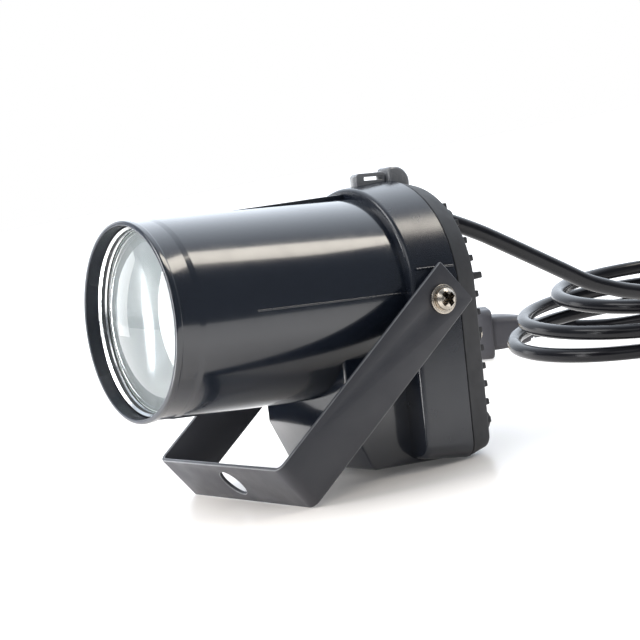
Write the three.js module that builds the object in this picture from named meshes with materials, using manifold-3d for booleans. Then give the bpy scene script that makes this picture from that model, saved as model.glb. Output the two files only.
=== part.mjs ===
// A small pin-spot lamp: a lens barrel moulded in one with a rear housing, a ribbed rear cover,
// a sheet-steel yoke that tilts on two screws, and a mains lead with its coil and plug.
// Lengths are in millimetres. The lamp is drawn along its own axes, the barrel's axis on Y with the
// front lip at y = 0. It then stands on two edges, the yoke's lower one and the housing's rear one.
import * as THREE from "three";
import { mergeVertices } from "three/addons/utils/BufferGeometryUtils.js";
import Module from "manifold-3d";

const wasm = await Module();
wasm.setup();

// Barrel
const lipRadius = 36;
const lipLength = 2.4;
const lipRound = 0.6;
const lipWall = 1.7;
const collarStep = 0.7;
const collarLength = 10.5;
const tubeStep = 0.35;
const tubeGrowth = 0.9;
const barrelLength = 94;
const barrelWall = 2.2;

// Lens stack behind the front lip
const seatGap = 0.3;
const ringDepth = 4.6;
const ringLength = 3.7;
const ringWidth = 3.5;
const ringBevel = 1.8;
const ringLand = 0.4;
const lensPlay = 0.8;
const lensEdge = 2.6;
const lensRise = 7.6;
const lensFlange = 3;
const gasketThickness = 1;
const gasketWidth = 2.2;
const ledgeWidth = 3.5;
const ledgeThickness = 1.8;

// Rear housing and the box under the barrel
const housingRadius = 42.3;
const housingDraft = 1.8;
const housingDepth = 19;
const housingDrop = 62.5;
const housingCorner = 6;
const housingEdge = 1.8;
const shellWall = 2.2;
const chinInset = 13;
const chinReach = 25;
const chinKnee = 44.7;
const chinRun = 8.6;
const chinEdge = 1.2;

// Safety eye on the housing and the lug on the cover behind it
const eyeLength = 13.4;
const eyeHeight = 3.2;
const eyeThickness = 4.6;
const eyeBar = 1.4;
const eyePost = 3.6;
const eyeSlotRise = 0.4;
const eyeRound = 1.2;
const lugWidth = 9;
const lugHeight = 4.9;
const lugRound = 1.4;
const lugCrown = 6.2;
const cheekLength = 3.2;
const cheekThickness = 1.7;
const cheekHeight = 3.5;

// Rear cover
const coverDepth = 9.3;
const coverTaper = 2.7;
const coverInset = 0.3;
const coverEdge = 1;
const browShare = 0.33;
const coverWall = 2.2;
const ribPitch = 6.65;
const ribHeight = 2.2;
const ribWidth = 1.8;
const ribInset = 0.5;
const ribTallHeight = 4.6;
const ribTallLevel = 3.3;
const ribsAbove = 4;
const ribsBelow = 9;
const ventHeight = 2.4;
const ventInner = 6;
const ventOuter = 25;
const ventsAbove = 1;
const ventsBelow = 7;

// Cover screws with their bosses
const coverScrewInset = 9.3;
const coverScrewUpper = 18;
const coverScrewRise = 12.5;
const coverScrewRadius = 1.5;
const coverHeadRadius = 2.9;
const coverHeadHeight = 2.3;
const coverScrewBite = 9;
const coverBossRadius = 4.5;
const postRadius = 4;
const postDepth = 12;
const screwPlay = 0.2;
const biteGap = 0.08;

// Yoke and its pivots
const yokeGap = 1;
const yokeThickness = 1.5;
const yokeWidth = 19.6;
const yokeReach = 90.2;
const yokeTip = 9.5;
const yokeBend = 3.5;
const yokeCorner = 0.8;
const yokeTilt = THREE.MathUtils.degToRad(49.4);
const yokeHoleRadius = 6;
const pivotAhead = 9.5;
const pivotDrop = 3.4;
const pivotPlay = 0.3;
const pivotScrewRadius = 2;
const pivotHeadRadius = 4.1;
const pivotHeadHeight = 2.9;
const headCurveShare = 0.56;
const washerRadius = 5.4;
const washerThickness = 0.9;
const padRadius = 7.5;
const nutFlats = 7;
const nutHeight = 3.2;
const nutWall = 1.8;
const nutCover = 3.6;
const stackGap = 0.15;

// Light engine
const sinkPlay = 0.9;
const sinkBase = 3;
const sinkAhead = 10;
const sinkPostInset = 6.95;
const sinkPostRadius = 2.9;
const sinkPostLength = 11;
const sinkScrewRadius = 1.3;
const sinkHeadRadius = 2.3;
const sinkHeadHeight = 1.6;
const sinkScrewLength = 9;
const finCount = 7;
const finThickness = 1.5;
const finSpan = 24;
const finLength = 16;
const starRadius = 10;
const starThickness = 1.6;
const starScrewPlace = 7.4;
const starScrewRadius = 1.1;
const starHeadRadius = 1.9;
const starHeadHeight = 1.3;
const starScrewLength = 4;
const chipSide = 5;
const chipThickness = 0.9;
const chipDome = 1.9;
const opticRadius = 10;
const opticNeck = 4.6;
const opticLength = 11;
const opticRim = 1.2;
const opticWell = 3;
const holderWall = 1.3;
const holderLip = 1.1;

// Driver board in the box under the barrel
const boardThickness = 1.6;
const boardInset = 5.3;
const boardAhead = 35;
const boardLength = 29;
const boardLift = 7;
const standRadius = 2.7;
const standInset = 4;
const boardScrewRadius = 1.2;
const boardHeadRadius = 2.2;
const boardHeadHeight = 1.4;
const boardScrewLength = 6;
const partLift = 0.1;
const coreWidth = 15;
const coreDepth = 13;
const coreHeight = 11;
const bobbinOverhang = 1.6;
const bobbinHeight = 6;
const capacitorRadius = 4;
const capacitorHeight = 10;
const fuseRadius = 2.4;
const fuseLength = 13;
const fuseCap = 3;
const fuseCapStep = 0.3;

// Inner leads
const leadRadius = 0.8;
const leadSides = 6;
const leadSteps = 14;
const leadSpread = 1.6;
const leadBend = 4;
const leadHoleSide = 4;
const leadHoleDrop = 3;

// Strain relief
const reliefBelow = 15.3;
const reliefNeck = 4.8;
const reliefPlay = 0.3;
const reliefFlange = 6.6;
const reliefFlangeThickness = 2;
const reliefBack = 2.4;
const reliefRoot = 5.7;
const reliefTip = 4.4;
const reliefBoot = 14;
const reliefDroop = THREE.MathUtils.degToRad(20);
const reliefGrooves = 3;
const reliefGrooveDepth = 0.7;
const reliefPad = 8;

// Mains lead, in the frame that it lies in: the floor is z = 0
const cordRadius = 3.25;
const cordSides = 8;
const cordStep = 8;
const cordMeet = 0.3;
const runPoints = [
  [-0.1, 87.2, 76.4], [-0.2, 98.2, 70], [-0.3, 111.2, 62.2], [-0.5, 124.2, 54.4], [-0.8, 136.1, 47.4],
  [-0.9, 146.7, 42.9], [-1, 157.3, 39.2], [-1.5, 178.6, 33.9], [-2.2, 200, 31],
  [-3.4, 222.2, 29.7], [-4.2, 238.2, 29.5],
];
const tailPoints = [[-139.8, 263.2, 5.6], [-148.5, 256, 6.4], [-155.5, 249.6, 7.9]];

// Coil
const coilCentre = new THREE.Vector2(-86, 226.7);
const coilRadius = 63;
const coilPitch = 6;
const coilRise = 8.2;
const coilLayers = 4;
const coilClimb = 0.5;
const coilDrift = 11;
const coilLean = THREE.MathUtils.degToRad(2.9);
const coilHeading = THREE.MathUtils.degToRad(58.65);
const coilEnd = THREE.MathUtils.degToRad(128.65);
const coilSides = 6;
const coilSteps = 24;
const floorGap = 0.1;

// Plug
const plugWidth = 26;
const plugHeight = 25;
const plugRound = 5;
const plugFlange = 7.5;
const plugBody = 19;
const bodyWidth = 21;
const bodyHeight = 17;
const bodyTaper = 4.5;
const gripShares = [0, 0.35, 0.75, 1];
const plugTail = 15;
const plugTailRoot = 5;
const plugTailTip = 4.3;
const plugGrooves = 3;
const plugGrooveDepth = 0.8;
const plugTilt = THREE.MathUtils.degToRad(5);
const plugPlace = new THREE.Vector2(-181.3, 207.2);
const bladeSpacing = 12.7;
const bladeWidth = 6.3;
const bladeThickness = 1.5;
const bladeLength = 16;
const bladeRoot = 4;
const bladeRise = 4;
const bladeHole = 1.6;
const earthRadius = 2.4;
const earthLength = 19.5;
const earthDrop = 11.9;

// Faces round a turned shape, and one overrun for every cut
const roundFaces = 48;
const middleFaces = 24;
const smallFaces = 12;
const arcFaces = 3;
const cutOver = 1;
const edgeBreak = 0.4;

// Sizes that follow from those above
const boreRadius = lipRadius - lipWall;
const collarRadius = lipRadius - collarStep;
const tubeFrontRadius = collarRadius + tubeStep;
const tubeRearRadius = tubeFrontRadius + tubeGrowth;
const stackRadius = boreRadius - seatGap;
const lensRadius = stackRadius - lensPlay;
const lensFace = ringDepth + ringLength + seatGap;
const gasketFace = lensFace + lensEdge + seatGap;
const ledgeFace = gasketFace + gasketThickness + seatGap;
const ledgeBack = ledgeFace + ledgeThickness;
const seam = barrelLength + housingDepth;
const coverFront = seam + seatGap;
const coverBack = coverFront + coverDepth;
const ribTop = coverBack + ribHeight;
const pivot = new THREE.Vector3(0, seam - pivotAhead, -pivotDrop);
const yokeInner = housingRadius + yokeGap;
const yokeOuter = yokeInner + yokeThickness;
const chinHalfWidth = housingRadius - chinInset;
const chinFront = barrelLength - chinReach;
const chinFloor = housingDrop - shellWall;
const coverScrewSide = housingRadius - coverScrewInset;
const coverScrewLower = housingDrop - coverScrewRise;
const reliefLevel = housingRadius - reliefBelow;
const boardHalfWidth = chinHalfWidth - boardInset;
const boardFront = seam - boardAhead;
const boardTop = -chinFloor + boardLift + seatGap + boardThickness;
const sinkRadius = tubeRearRadius - barrelWall - sinkPlay;
const sinkFace = barrelLength - sinkAhead;
const sinkPostSide = tubeRearRadius - sinkPostInset;
const starFace = sinkFace - seatGap - starThickness;
const chipFace = starFace - seatGap - chipThickness;
const opticBack = chipFace - seatGap;
const opticFront = opticBack - opticLength;
const bootRoot = ribTop + seatGap + reliefFlangeThickness;
const bowRadius = reliefBoot / reliefDroop;

// Turns a list of sizes into points, makes closed solids of geometries, and back.
const flat = (pairs) => pairs.map(([a, b]) => new THREE.Vector2(a, b));

function solid(geometry) {
  const bare = geometry.clone();
  bare.deleteAttribute("normal");
  bare.deleteAttribute("uv");
  const merged = mergeVertices(bare);
  const corners = merged.index.array;
  const kept = [];
  for (let i = 0; i < corners.length; i += 3) {
    const [a, b, c] = corners.slice(i, i + 3);
    if (a !== b && b !== c && c !== a) kept.push(a, b, c);
  }
  return new wasm.Manifold(new wasm.Mesh({
    numProp: 3,
    vertProperties: new Float32Array(merged.attributes.position.array),
    triVerts: new Uint32Array(kept),
  }));
}

function joined(...solids) {
  return solids.reduce((whole, next) => whole.add(next));
}

function cut(whole, ...tools) {
  return tools.reduce((left, tool) => left.subtract(tool), whole);
}

function surface(made) {
  const { vertProperties, triVerts } = made.getMesh();
  const geometry = new THREE.BufferGeometry();
  geometry.setAttribute("position", new THREE.BufferAttribute(vertProperties, 3));
  geometry.setIndex(new THREE.BufferAttribute(triVerts, 1));
  const faceted = geometry.toNonIndexed();
  faceted.computeVertexNormals();
  return faceted;
}

// The three ways a drawn outline is stretched into a solid: its second axis is Z or, along Z, Y.
const bases = {
  x: [new THREE.Vector3(0, 1, 0), new THREE.Vector3(0, 0, 1), new THREE.Vector3(1, 0, 0)],
  y: [new THREE.Vector3(-1, 0, 0), new THREE.Vector3(0, 0, 1), new THREE.Vector3(0, 1, 0)],
  z: [new THREE.Vector3(1, 0, 0), new THREE.Vector3(0, 1, 0), new THREE.Vector3(0, 0, 1)],
};

function stretched(axis, shape, from, to, edge = 0) {
  const geometry = new THREE.ExtrudeGeometry(shape, {
    depth: to - from - 2 * edge,
    bevelEnabled: edge > 0,
    bevelThickness: edge,
    bevelSize: edge,
    bevelOffset: -edge,
    bevelSegments: 2,
    curveSegments: arcFaces,
  });
  geometry.translate(0, 0, from + edge);
  return solid(geometry.applyMatrix4(new THREE.Matrix4().makeBasis(...bases[axis])));
}

// A block between two corners.
function block(x0, x1, y0, y1, z0, z1) {
  const geometry = new THREE.BoxGeometry(x1 - x0, y1 - y0, z1 - z0);
  return solid(geometry.translate((x0 + x1) / 2, (y0 + y1) / 2, (z0 + z1) / 2));
}

// A profile of radius and height, turned about Y, X or Z and moved to a place.
function turned(axis, profile, faces, place = new THREE.Vector3()) {
  const points = flat(profile);
  if (THREE.ShapeUtils.isClockWise(points)) points.reverse();
  points.push(points[0].clone());
  const geometry = new THREE.LatheGeometry(points, faces);
  if (axis === "x") geometry.rotateZ(-Math.PI / 2);
  if (axis === "z") geometry.rotateX(Math.PI / 2);
  return solid(geometry.translate(place.x, place.y, place.z));
}

function rod(axis, radius, from, to, faces, place) {
  return turned(axis, [[0, from], [radius, from], [radius, to], [0, to]], faces, place);
}

// The housing's outline seen from the front: an arch on straight sides with rounded lower corners.
function archOutline(inset) {
  const side = housingRadius - inset;
  const drop = housingDrop - Math.min(inset, coverTaper + coverInset + coverWall);
  const corner = housingCorner - inset / 2;
  const points = [];
  const archSteps = roundFaces / 2;
  for (let i = 0; i <= archSteps; i += 1) {
    const turn = Math.PI * i / archSteps;
    points.push([side * Math.cos(turn), side * Math.sin(turn)]);
  }
  for (const [hand, start] of [[-1, Math.PI], [1, 1.5 * Math.PI]]) {
    for (let i = 0; i <= arcFaces; i += 1) {
      const turn = start + Math.PI / 2 * i / arcFaces;
      const x = hand * (side - corner) + corner * Math.cos(turn);
      points.push([x, corner - drop + corner * Math.sin(turn)]);
    }
  }
  return flat(points);
}

// Joins outlines of equal length, each at its own y, into one closed solid.
function lofted(sections) {
  const count = sections[0].outline.length;
  const positions = sections.flatMap(({ outline, y }) => outline.flatMap((p) => [p.x, y, p.y]));
  const index = [];
  for (let s = 0; s + 1 < sections.length; s += 1) {
    for (let i = 0; i < count; i += 1) {
      const [a, b] = [s * count + i, s * count + (i + 1) % count];
      index.push(a, a + count, b, b, a + count, b + count);
    }
  }
  const last = (sections.length - 1) * count;
  for (const [a, b, c] of THREE.ShapeUtils.triangulateShape(sections[0].outline, [])) {
    index.push(a, b, c);
  }
  for (const [a, b, c] of THREE.ShapeUtils.triangulateShape(sections.at(-1).outline, [])) {
    index.push(last + a, last + c, last + b);
  }
  const geometry = new THREE.BufferGeometry();
  geometry.setAttribute("position", new THREE.Float32BufferAttribute(positions, 3));
  geometry.setIndex(index);
  return solid(geometry);
}

// Joins rings of radius and tilt, set along a bow that turns down from +Y, into one closed solid.
function drooped(stations, bowRadius, place) {
  const sections = stations.map(({ along, radius }) => {
    const turn = along / bowRadius;
    const ring = [];
    for (let i = 0; i < middleFaces; i += 1) {
      const angle = 2 * Math.PI * i / middleFaces;
      const out = bowRadius + radius * Math.sin(angle);
      const y = place.y + out * Math.sin(turn);
      const z = place.z - bowRadius + out * Math.cos(turn);
      ring.push([place.x + radius * Math.cos(angle), y, z]);
    }
    return ring;
  });
  const positions = sections.flat(2);
  const index = [];
  const last = (sections.length - 1) * middleFaces;
  for (let s = 0; s + 1 < sections.length; s += 1) {
    for (let i = 0; i < middleFaces; i += 1) {
      const [a, b] = [s * middleFaces + i, s * middleFaces + (i + 1) % middleFaces];
      index.push(a, a + middleFaces, b, b, a + middleFaces, b + middleFaces);
    }
  }
  for (let i = 1; i + 1 < middleFaces; i += 1) {
    index.push(0, i, i + 1, last, last + i + 1, last + i);
  }
  const geometry = new THREE.BufferGeometry();
  geometry.setAttribute("position", new THREE.Float32BufferAttribute(positions, 3));
  geometry.setIndex(index);
  return solid(geometry);
}

// A tube of a regular section along a curve.
function tube(points, radius, sides, steps) {
  const corners = [];
  for (let i = 0; i < sides; i += 1) {
    const turn = 2 * Math.PI * i / sides;
    corners.push(new THREE.Vector2(radius * Math.cos(turn), radius * Math.sin(turn)));
  }
  const extrudePath = new THREE.CatmullRomCurve3(points, false, "centripetal");
  return new THREE.ExtrudeGeometry(new THREE.Shape(corners), { steps, extrudePath });
}

// Object groups: everything, the lamp along its own axes, and the yoke in its own frame.
const spotlight = new THREE.Group();
const lamp = new THREE.Group();
const yokeFrame = new THREE.Group();
spotlight.add(lamp);
lamp.add(yokeFrame);
yokeFrame.position.copy(pivot);
yokeFrame.rotation.x = -yokeTilt;

const glossBlack = { color: 0x0d0e12, roughness: 0.22, metalness: 0 };
const mattBlack = { color: 0x26272b, roughness: 0.7, metalness: 0 };
const coatBlack = { color: 0x2a2b30, roughness: 0.5, metalness: 0.2 };
const nickel = { color: 0xb9ab98, roughness: 0.25, metalness: 1 };
const zinc = { color: 0xb8bcc0, roughness: 0.35, metalness: 1 };
const castAluminium = { color: 0xb4b8bd, roughness: 0.45, metalness: 1 };
const clearGlass = { color: 0xdfe9ea, roughness: 0.02, metalness: 0 };
const clearResin = { color: 0xe9eef2, roughness: 0.05, metalness: 0 };
const whiteResin = { color: 0xe6e6e0, roughness: 0.5, metalness: 0 };
const phosphor = { color: 0xe8d66a, roughness: 0.4, metalness: 0 };
const boardGreen = { color: 0x1d5a37, roughness: 0.45, metalness: 0 };
const softBlack = { color: 0x17181b, roughness: 0.55, metalness: 0 };
const brass = { color: 0xc9a860, roughness: 0.3, metalness: 1 };

function add(parent, name, geometry, finish) {
  const mesh = new THREE.Mesh(geometry, new THREE.MeshStandardMaterial(finish));
  mesh.name = name;
  parent.add(mesh);
  return mesh;
}

// Shell: barrel, housing, box under the barrel, posts, pads and safety eye in one moulding.
function barrelOutside() {
  return turned("y", [
    [0, 0], [lipRadius - lipRound, 0], [lipRadius, lipRound], [lipRadius, lipLength - lipRound],
    [collarRadius, lipLength], [collarRadius, collarLength], [tubeFrontRadius, collarLength + tubeStep],
    [tubeRearRadius, barrelLength], [tubeRearRadius, barrelLength + shellWall],
    [0, barrelLength + shellWall],
  ], roundFaces);
}

function barrelBore() {
  const behind = ledgeBack + cutOver;
  return joined(
    rod("y", boreRadius, -cutOver, ledgeFace, roundFaces),
    rod("y", boreRadius - ledgeWidth, ledgeFace - cutOver, behind, roundFaces),
    turned("y", [
      [0, ledgeBack], [tubeFrontRadius - barrelWall, ledgeBack],
      [tubeRearRadius - barrelWall, barrelLength], [tubeRearRadius - barrelWall, seam],
      [0, seam],
    ], roundFaces),
  );
}

function housingOutside() {
  const sections = [];
  for (let i = 0; i <= 3; i += 1) {
    const turn = Math.PI / 2 * i / 3;
    const inset = housingDraft + housingEdge * (1 - Math.sin(turn));
    sections.push({ outline: archOutline(inset), y: barrelLength + housingEdge * (1 - Math.cos(turn)) });
  }
  sections.push({ outline: archOutline(0), y: seam });
  return lofted(sections);
}

function housingInside() {
  return lofted([
    { outline: archOutline(housingDraft + shellWall), y: barrelLength + shellWall },
    { outline: archOutline(shellWall), y: seam + cutOver },
  ]);
}

function chinProfile(inset) {
  const lean = Math.atan2(chinRun, housingDrop - chinKnee);
  const slide = inset * Math.tan(lean / 2);
  const foot = inset * (1 / Math.cos(lean) - Math.tan(lean));
  return new THREE.Shape(flat([
    [chinFront + inset, 0], [seam - cutOver, 0], [seam - cutOver, inset - housingDrop],
    [chinFront + chinRun + foot, inset - housingDrop], [chinFront + inset, slide - chinKnee],
  ]));
}

function eye() {
  const base = Math.sqrt((housingRadius - housingDraft) ** 2 - (eyeThickness / 2) ** 2) - cutOver;
  const top = housingRadius + eyeHeight;
  const front = seam - eyeLength;
  const slotLow = housingRadius + eyeSlotRise;
  const bar = stretched("x", new THREE.Shape(flat([
    [front, base], [seam - seatGap, base], [seam - seatGap, top - eyeRound],
    [seam - seatGap - eyeRound, top], [front + eyeRound, top], [front, top - eyeRound],
  ])), -eyeThickness / 2, eyeThickness / 2, edgeBreak);
  const slot = block(
    -eyeThickness, eyeThickness, front + eyePost, seam - eyeBar, slotLow, top - eyeBar,
  );
  return cut(bar, slot);
}

function coverScrewPlaces() {
  return [-1, 1].flatMap((hand) => [coverScrewUpper, coverScrewLower].map((drop) => (
    new THREE.Vector3(hand * coverScrewSide, 0, -drop)
  )));
}

function coverPosts() {
  const room = lofted([
    { outline: archOutline(housingDraft + shellWall / 2), y: seam - postDepth - cutOver },
    { outline: archOutline(housingDraft + shellWall / 2), y: seam },
  ]);
  return coverScrewPlaces().map((place) => {
    const out = Math.sign(place.x) * housingRadius;
    const post = rod("y", postRadius, seam - postDepth, seam, smallFaces, place);
    const web = block(
      Math.min(place.x, out), Math.max(place.x, out), seam - postDepth, seam,
      place.z - shellWall / 2, place.z + shellWall / 2,
    );
    const from = seam - coverScrewBite - cutOver;
    const hole = rod("y", coverScrewRadius + biteGap, from, seam + cutOver, smallFaces, place);
    return cut(joined(post, web).intersect(room), hole);
  });
}

// A solid pad inside and outside the housing's side, and the screw hole and nut socket cut in it.
function pivotBoss(hand) {
  const face = hand * (yokeInner - pivotPlay);
  const floor = face - hand * nutCover;
  const inner = floor - hand * (nutHeight + seatGap);
  const radius = nutFlats / Math.sqrt(3) + screwPlay + nutWall;
  const pad = rod("x", padRadius, Math.min(face, floor), Math.max(face, floor), middleFaces, pivot);
  const boss = rod("x", radius, Math.min(face, inner), Math.max(face, inner), middleFaces, pivot);
  return joined(pad, boss);
}

function pivotCuts(hand) {
  const face = hand * (yokeInner - pivotPlay + cutOver);
  const floor = hand * (yokeInner - pivotPlay - nutCover);
  const beyond = floor - hand * (nutHeight + seatGap + cutOver);
  const socket = nutFlats / Math.sqrt(3) + screwPlay;
  const radius = pivotScrewRadius + screwPlay;
  const hole = rod("x", radius, Math.min(beyond, face), Math.max(beyond, face), smallFaces, pivot);
  const pocket = rod("x", socket, Math.min(beyond, floor), Math.max(beyond, floor), 6, pivot);
  return joined(hole, pocket);
}

function sinkPosts() {
  const back = sinkFace - seatGap;
  const front = back - sinkPostLength;
  return [-1, 1].map((hand) => {
    const place = new THREE.Vector3(hand * sinkPostSide, 0, 0);
    const wall = hand * (tubeRearRadius - barrelWall / 2);
    const post = rod("y", sinkPostRadius, front, back, smallFaces, place);
    const web = block(
      Math.min(place.x, wall), Math.max(place.x, wall), front, back, -barrelWall / 2, barrelWall / 2,
    );
    const hole = rod("y", sinkScrewRadius + biteGap, front + cutOver, back + cutOver, smallFaces, place);
    return cut(joined(post, web), hole);
  });
}

function boardPlaces() {
  const side = boardHalfWidth - standInset;
  return [
    new THREE.Vector3(-side, boardFront + standInset, 0),
    new THREE.Vector3(side, boardFront + boardLength - standInset, 0),
  ];
}

function boardStands() {
  const top = boardTop - boardThickness - seatGap;
  return boardPlaces().map((place) => {
    const stand = rod("z", standRadius, -housingDrop + shellWall / 2, top, smallFaces, place);
    const hole = rod("z", boardScrewRadius + biteGap, top - boardScrewLength, top + cutOver,
      smallFaces, place);
    return cut(stand, hole);
  });
}

function shell() {
  const box = stretched("x", chinProfile(0), -chinHalfWidth, chinHalfWidth, chinEdge);
  const inner = chinHalfWidth - shellWall;
  const boxRoom = cut(stretched("x", chinProfile(shellWall), -inner, inner), barrelOutside());
  const outside = joined(barrelOutside(), housingOutside(), box, pivotBoss(-1), pivotBoss(1), eye());
  const room = cut(housingInside(), pivotBoss(-1), pivotBoss(1));
  const hollow = cut(outside, barrelBore(), room, boxRoom);
  const inside = [...coverPosts(), ...sinkPosts(), ...boardStands()];
  return cut(joined(hollow, ...inside), pivotCuts(-1), pivotCuts(1));
}

// Lens stack: a ring with a wide bright bevel, a lens with a domed front and a gasket behind it.
function retainingRing() {
  const inner = stackRadius - ringWidth;
  const back = ringDepth + ringLength;
  return turned("y", [
    [stackRadius, ringDepth], [stackRadius, back], [inner, back], [inner, ringDepth + ringBevel],
    [stackRadius - ringLand, ringDepth],
  ], roundFaces);
}

function lens() {
  const dome = lensRadius - lensFlange;
  const sphere = (dome ** 2 + lensRise ** 2) / (2 * lensRise);
  const reach = Math.asin(dome / sphere);
  const profile = [[0, lensFace + lensEdge], [lensRadius, lensFace + lensEdge], [lensRadius, lensFace]];
  const arcSteps = 7;
  for (let i = arcSteps; i >= 0; i -= 1) {
    const turn = reach * i / arcSteps;
    profile.push([sphere * Math.sin(turn), lensFace - lensRise + sphere * (1 - Math.cos(turn))]);
  }
  return turned("y", profile, roundFaces);
}

function gasket() {
  const inner = lensRadius - gasketWidth;
  const back = gasketFace + gasketThickness;
  return turned("y", [
    [inner, gasketFace], [lensRadius, gasketFace], [lensRadius, back], [inner, back],
  ], roundFaces);
}

// Rear cover: a shallow tray with ribs across its back, vents between them and a lug on top.
function coverInsetAt(y) {
  return coverInset + (coverTaper - coverInset) * (y - coverFront) / coverDepth;
}

function coverBody() {
  const rim = coverBack - coverEdge;
  const brow = coverBack - coverEdge * browShare;
  const floor = coverBack - coverWall;
  const outside = lofted([
    { outline: archOutline(coverInset), y: coverFront },
    { outline: archOutline(coverInsetAt(rim)), y: rim },
    { outline: archOutline(coverInsetAt(brow) + coverEdge * browShare), y: brow },
    { outline: archOutline(coverInsetAt(coverBack) + coverEdge), y: coverBack },
  ]);
  const inside = lofted([
    { outline: archOutline(coverInset + coverWall), y: coverFront - cutOver },
    { outline: archOutline(coverInsetAt(floor) + coverWall), y: floor },
  ]);
  return cut(outside, inside);
}

// A bar with half-round ends, from one x to another at a level, stretched along Y.
function rounded(left, right, level, width, from, to) {
  const end = width / 2;
  const bar = new THREE.Shape();
  bar.absarc(right - end, level, end, -Math.PI / 2, Math.PI / 2);
  bar.absarc(left + end, level, end, Math.PI / 2, 1.5 * Math.PI);
  return stretched("y", bar, from, to);
}

function rib(index) {
  const level = ribTallLevel + index * ribPitch;
  const side = housingRadius - coverTaper - coverEdge - ribInset;
  const foot = housingCorner - ribPitch / 2;
  const tuck = index === -ribsBelow ? foot : 0;
  const half = level > 0 ? Math.sqrt(side ** 2 - level ** 2) : side - tuck;
  const top = coverBack + (index === 0 ? ribTallHeight : ribHeight);
  return rounded(-half, half, level, ribWidth, coverBack - coverWall / 2, top);
}

function vents() {
  const slots = [];
  for (let index = -ventsBelow; index <= ventsAbove; index += 1) {
    const level = ribTallLevel + (index + 1 / 2) * ribPitch;
    const [from, to] = [coverBack - coverWall - cutOver, coverBack + cutOver];
    slots.push(rounded(ventInner, ventOuter, level, ventHeight, from, to));
    slots.push(rounded(-ventOuter, -ventInner, level, ventHeight, from, to));
  }
  return slots;
}

function lug() {
  const top = housingRadius + lugHeight;
  const low = housingRadius - coverTaper - coverWall / 2;
  const outline = new THREE.Shape();
  outline.moveTo(coverFront, low);
  outline.lineTo(coverBack, low);
  outline.absarc(coverBack - lugCrown, top - lugCrown, lugCrown, 0, Math.PI / 2);
  outline.absarc(coverFront + lugRound, top - lugRound, lugRound, Math.PI / 2, Math.PI);
  const body = stretched("x", outline, -lugWidth / 2, lugWidth / 2, edgeBreak);
  const front = coverFront - cheekLength;
  const back = coverFront + lugRound;
  const foot = housingRadius + seatGap;
  const crest = housingRadius + cheekHeight;
  const cheek = stretched("x", new THREE.Shape(flat([
    [front, foot], [back, foot], [back, crest], [front + lugRound, crest], [front, crest - lugRound],
  ])), -lugWidth / 2, cheekThickness - lugWidth / 2);
  return joined(body, cheek);
}

function rearCover() {
  const ribs = [];
  for (let index = -ribsBelow; index <= ribsAbove; index += 1) ribs.push(rib(index));
  const places = coverScrewPlaces();
  const pads = places.map((place) => (
    rod("y", coverBossRadius, coverFront, ribTop, smallFaces, place)
  ));
  const [front, beyond] = [coverFront - cutOver, ribTop + cutOver];
  const holes = places.map((place) => (
    rod("y", coverScrewRadius + screwPlay, front, beyond, smallFaces, place)
  ));
  const exit = new THREE.Vector3(0, 0, reliefLevel);
  const collar = rod("y", reliefPad, coverBack - coverWall / 2, ribTop, middleFaces, exit);
  const bore = rod("y", reliefNeck + reliefPlay, coverFront, beyond, middleFaces, exit);
  const body = cut(coverBody(), ...vents());
  return cut(joined(body, ...ribs, ...pads, lug(), collar), ...holes, bore);
}

// Yoke: one strip of sheet folded twice, with a hole in its base and one at each pivot.
function yoke() {
  const [inner, outer] = [yokeInner, yokeOuter];
  const innerBend = yokeBend - yokeThickness;
  const half = yokeWidth / 2;
  const low = -yokeReach - cutOver;
  const strip = new THREE.Shape();
  strip.moveTo(outer, yokeTip);
  strip.lineTo(inner, yokeTip);
  strip.absarc(inner - innerBend, yokeBend - yokeReach, innerBend, 0, -Math.PI / 2, true);
  strip.absarc(innerBend - inner, yokeBend - yokeReach, innerBend, -Math.PI / 2, -Math.PI, true);
  strip.lineTo(-inner, yokeTip);
  strip.lineTo(-outer, yokeTip);
  strip.absarc(yokeBend - outer, yokeBend - yokeReach, yokeBend, Math.PI, 1.5 * Math.PI);
  strip.absarc(outer - yokeBend, yokeBend - yokeReach, yokeBend, -Math.PI / 2, 0);
  const side = new THREE.Shape();
  side.moveTo(half, low);
  side.lineTo(half, yokeTip - yokeCorner);
  side.absarc(half - yokeCorner, yokeTip - yokeCorner, yokeCorner, 0, Math.PI / 2);
  side.absarc(yokeCorner - half, yokeTip - yokeCorner, yokeCorner, Math.PI / 2, Math.PI);
  side.lineTo(-half, low);
  const [left, right] = [-outer - cutOver, outer + cutOver];
  const blank = stretched("y", strip, -half - cutOver, half + cutOver);
  const trimmed = blank.intersect(stretched("x", side, left, right));
  const pivotHole = rod("x", pivotScrewRadius + pivotPlay, left, right, smallFaces);
  const high = cutOver + yokeThickness - yokeReach;
  const baseHole = rod("z", yokeHoleRadius, low, high, middleFaces);
  return cut(trimmed, pivotHole, baseHole);
}

// Pan-head screw, turned: the shank lies below zero and the domed head above it.
function screw(axis, shank, length, headRadius, headHeight, place) {
  const crown = headRadius / 2;
  const shoulder = headHeight / 2;
  return turned(axis, [
    [0, -length], [shank / 2, -length], [shank, shank / 2 - length], [shank, 0], [headRadius, 0],
    [headRadius, shoulder], [(headRadius + crown) / 2, (shoulder + headHeight) * headCurveShare],
    [crown, headHeight], [0, headHeight],
  ], smallFaces, place);
}

function washer() {
  const hole = pivotScrewRadius + pivotPlay;
  return turned("x", [
    [hole, 0], [washerRadius, 0], [washerRadius, washerThickness], [hole, washerThickness],
  ], middleFaces);
}

function nut() {
  const across = nutFlats / Math.sqrt(3);
  const body = rod("x", across, 0, nutHeight, 6);
  return cut(body, rod("x", pivotScrewRadius + biteGap, -cutOver, nutHeight + cutOver, smallFaces));
}

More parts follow.
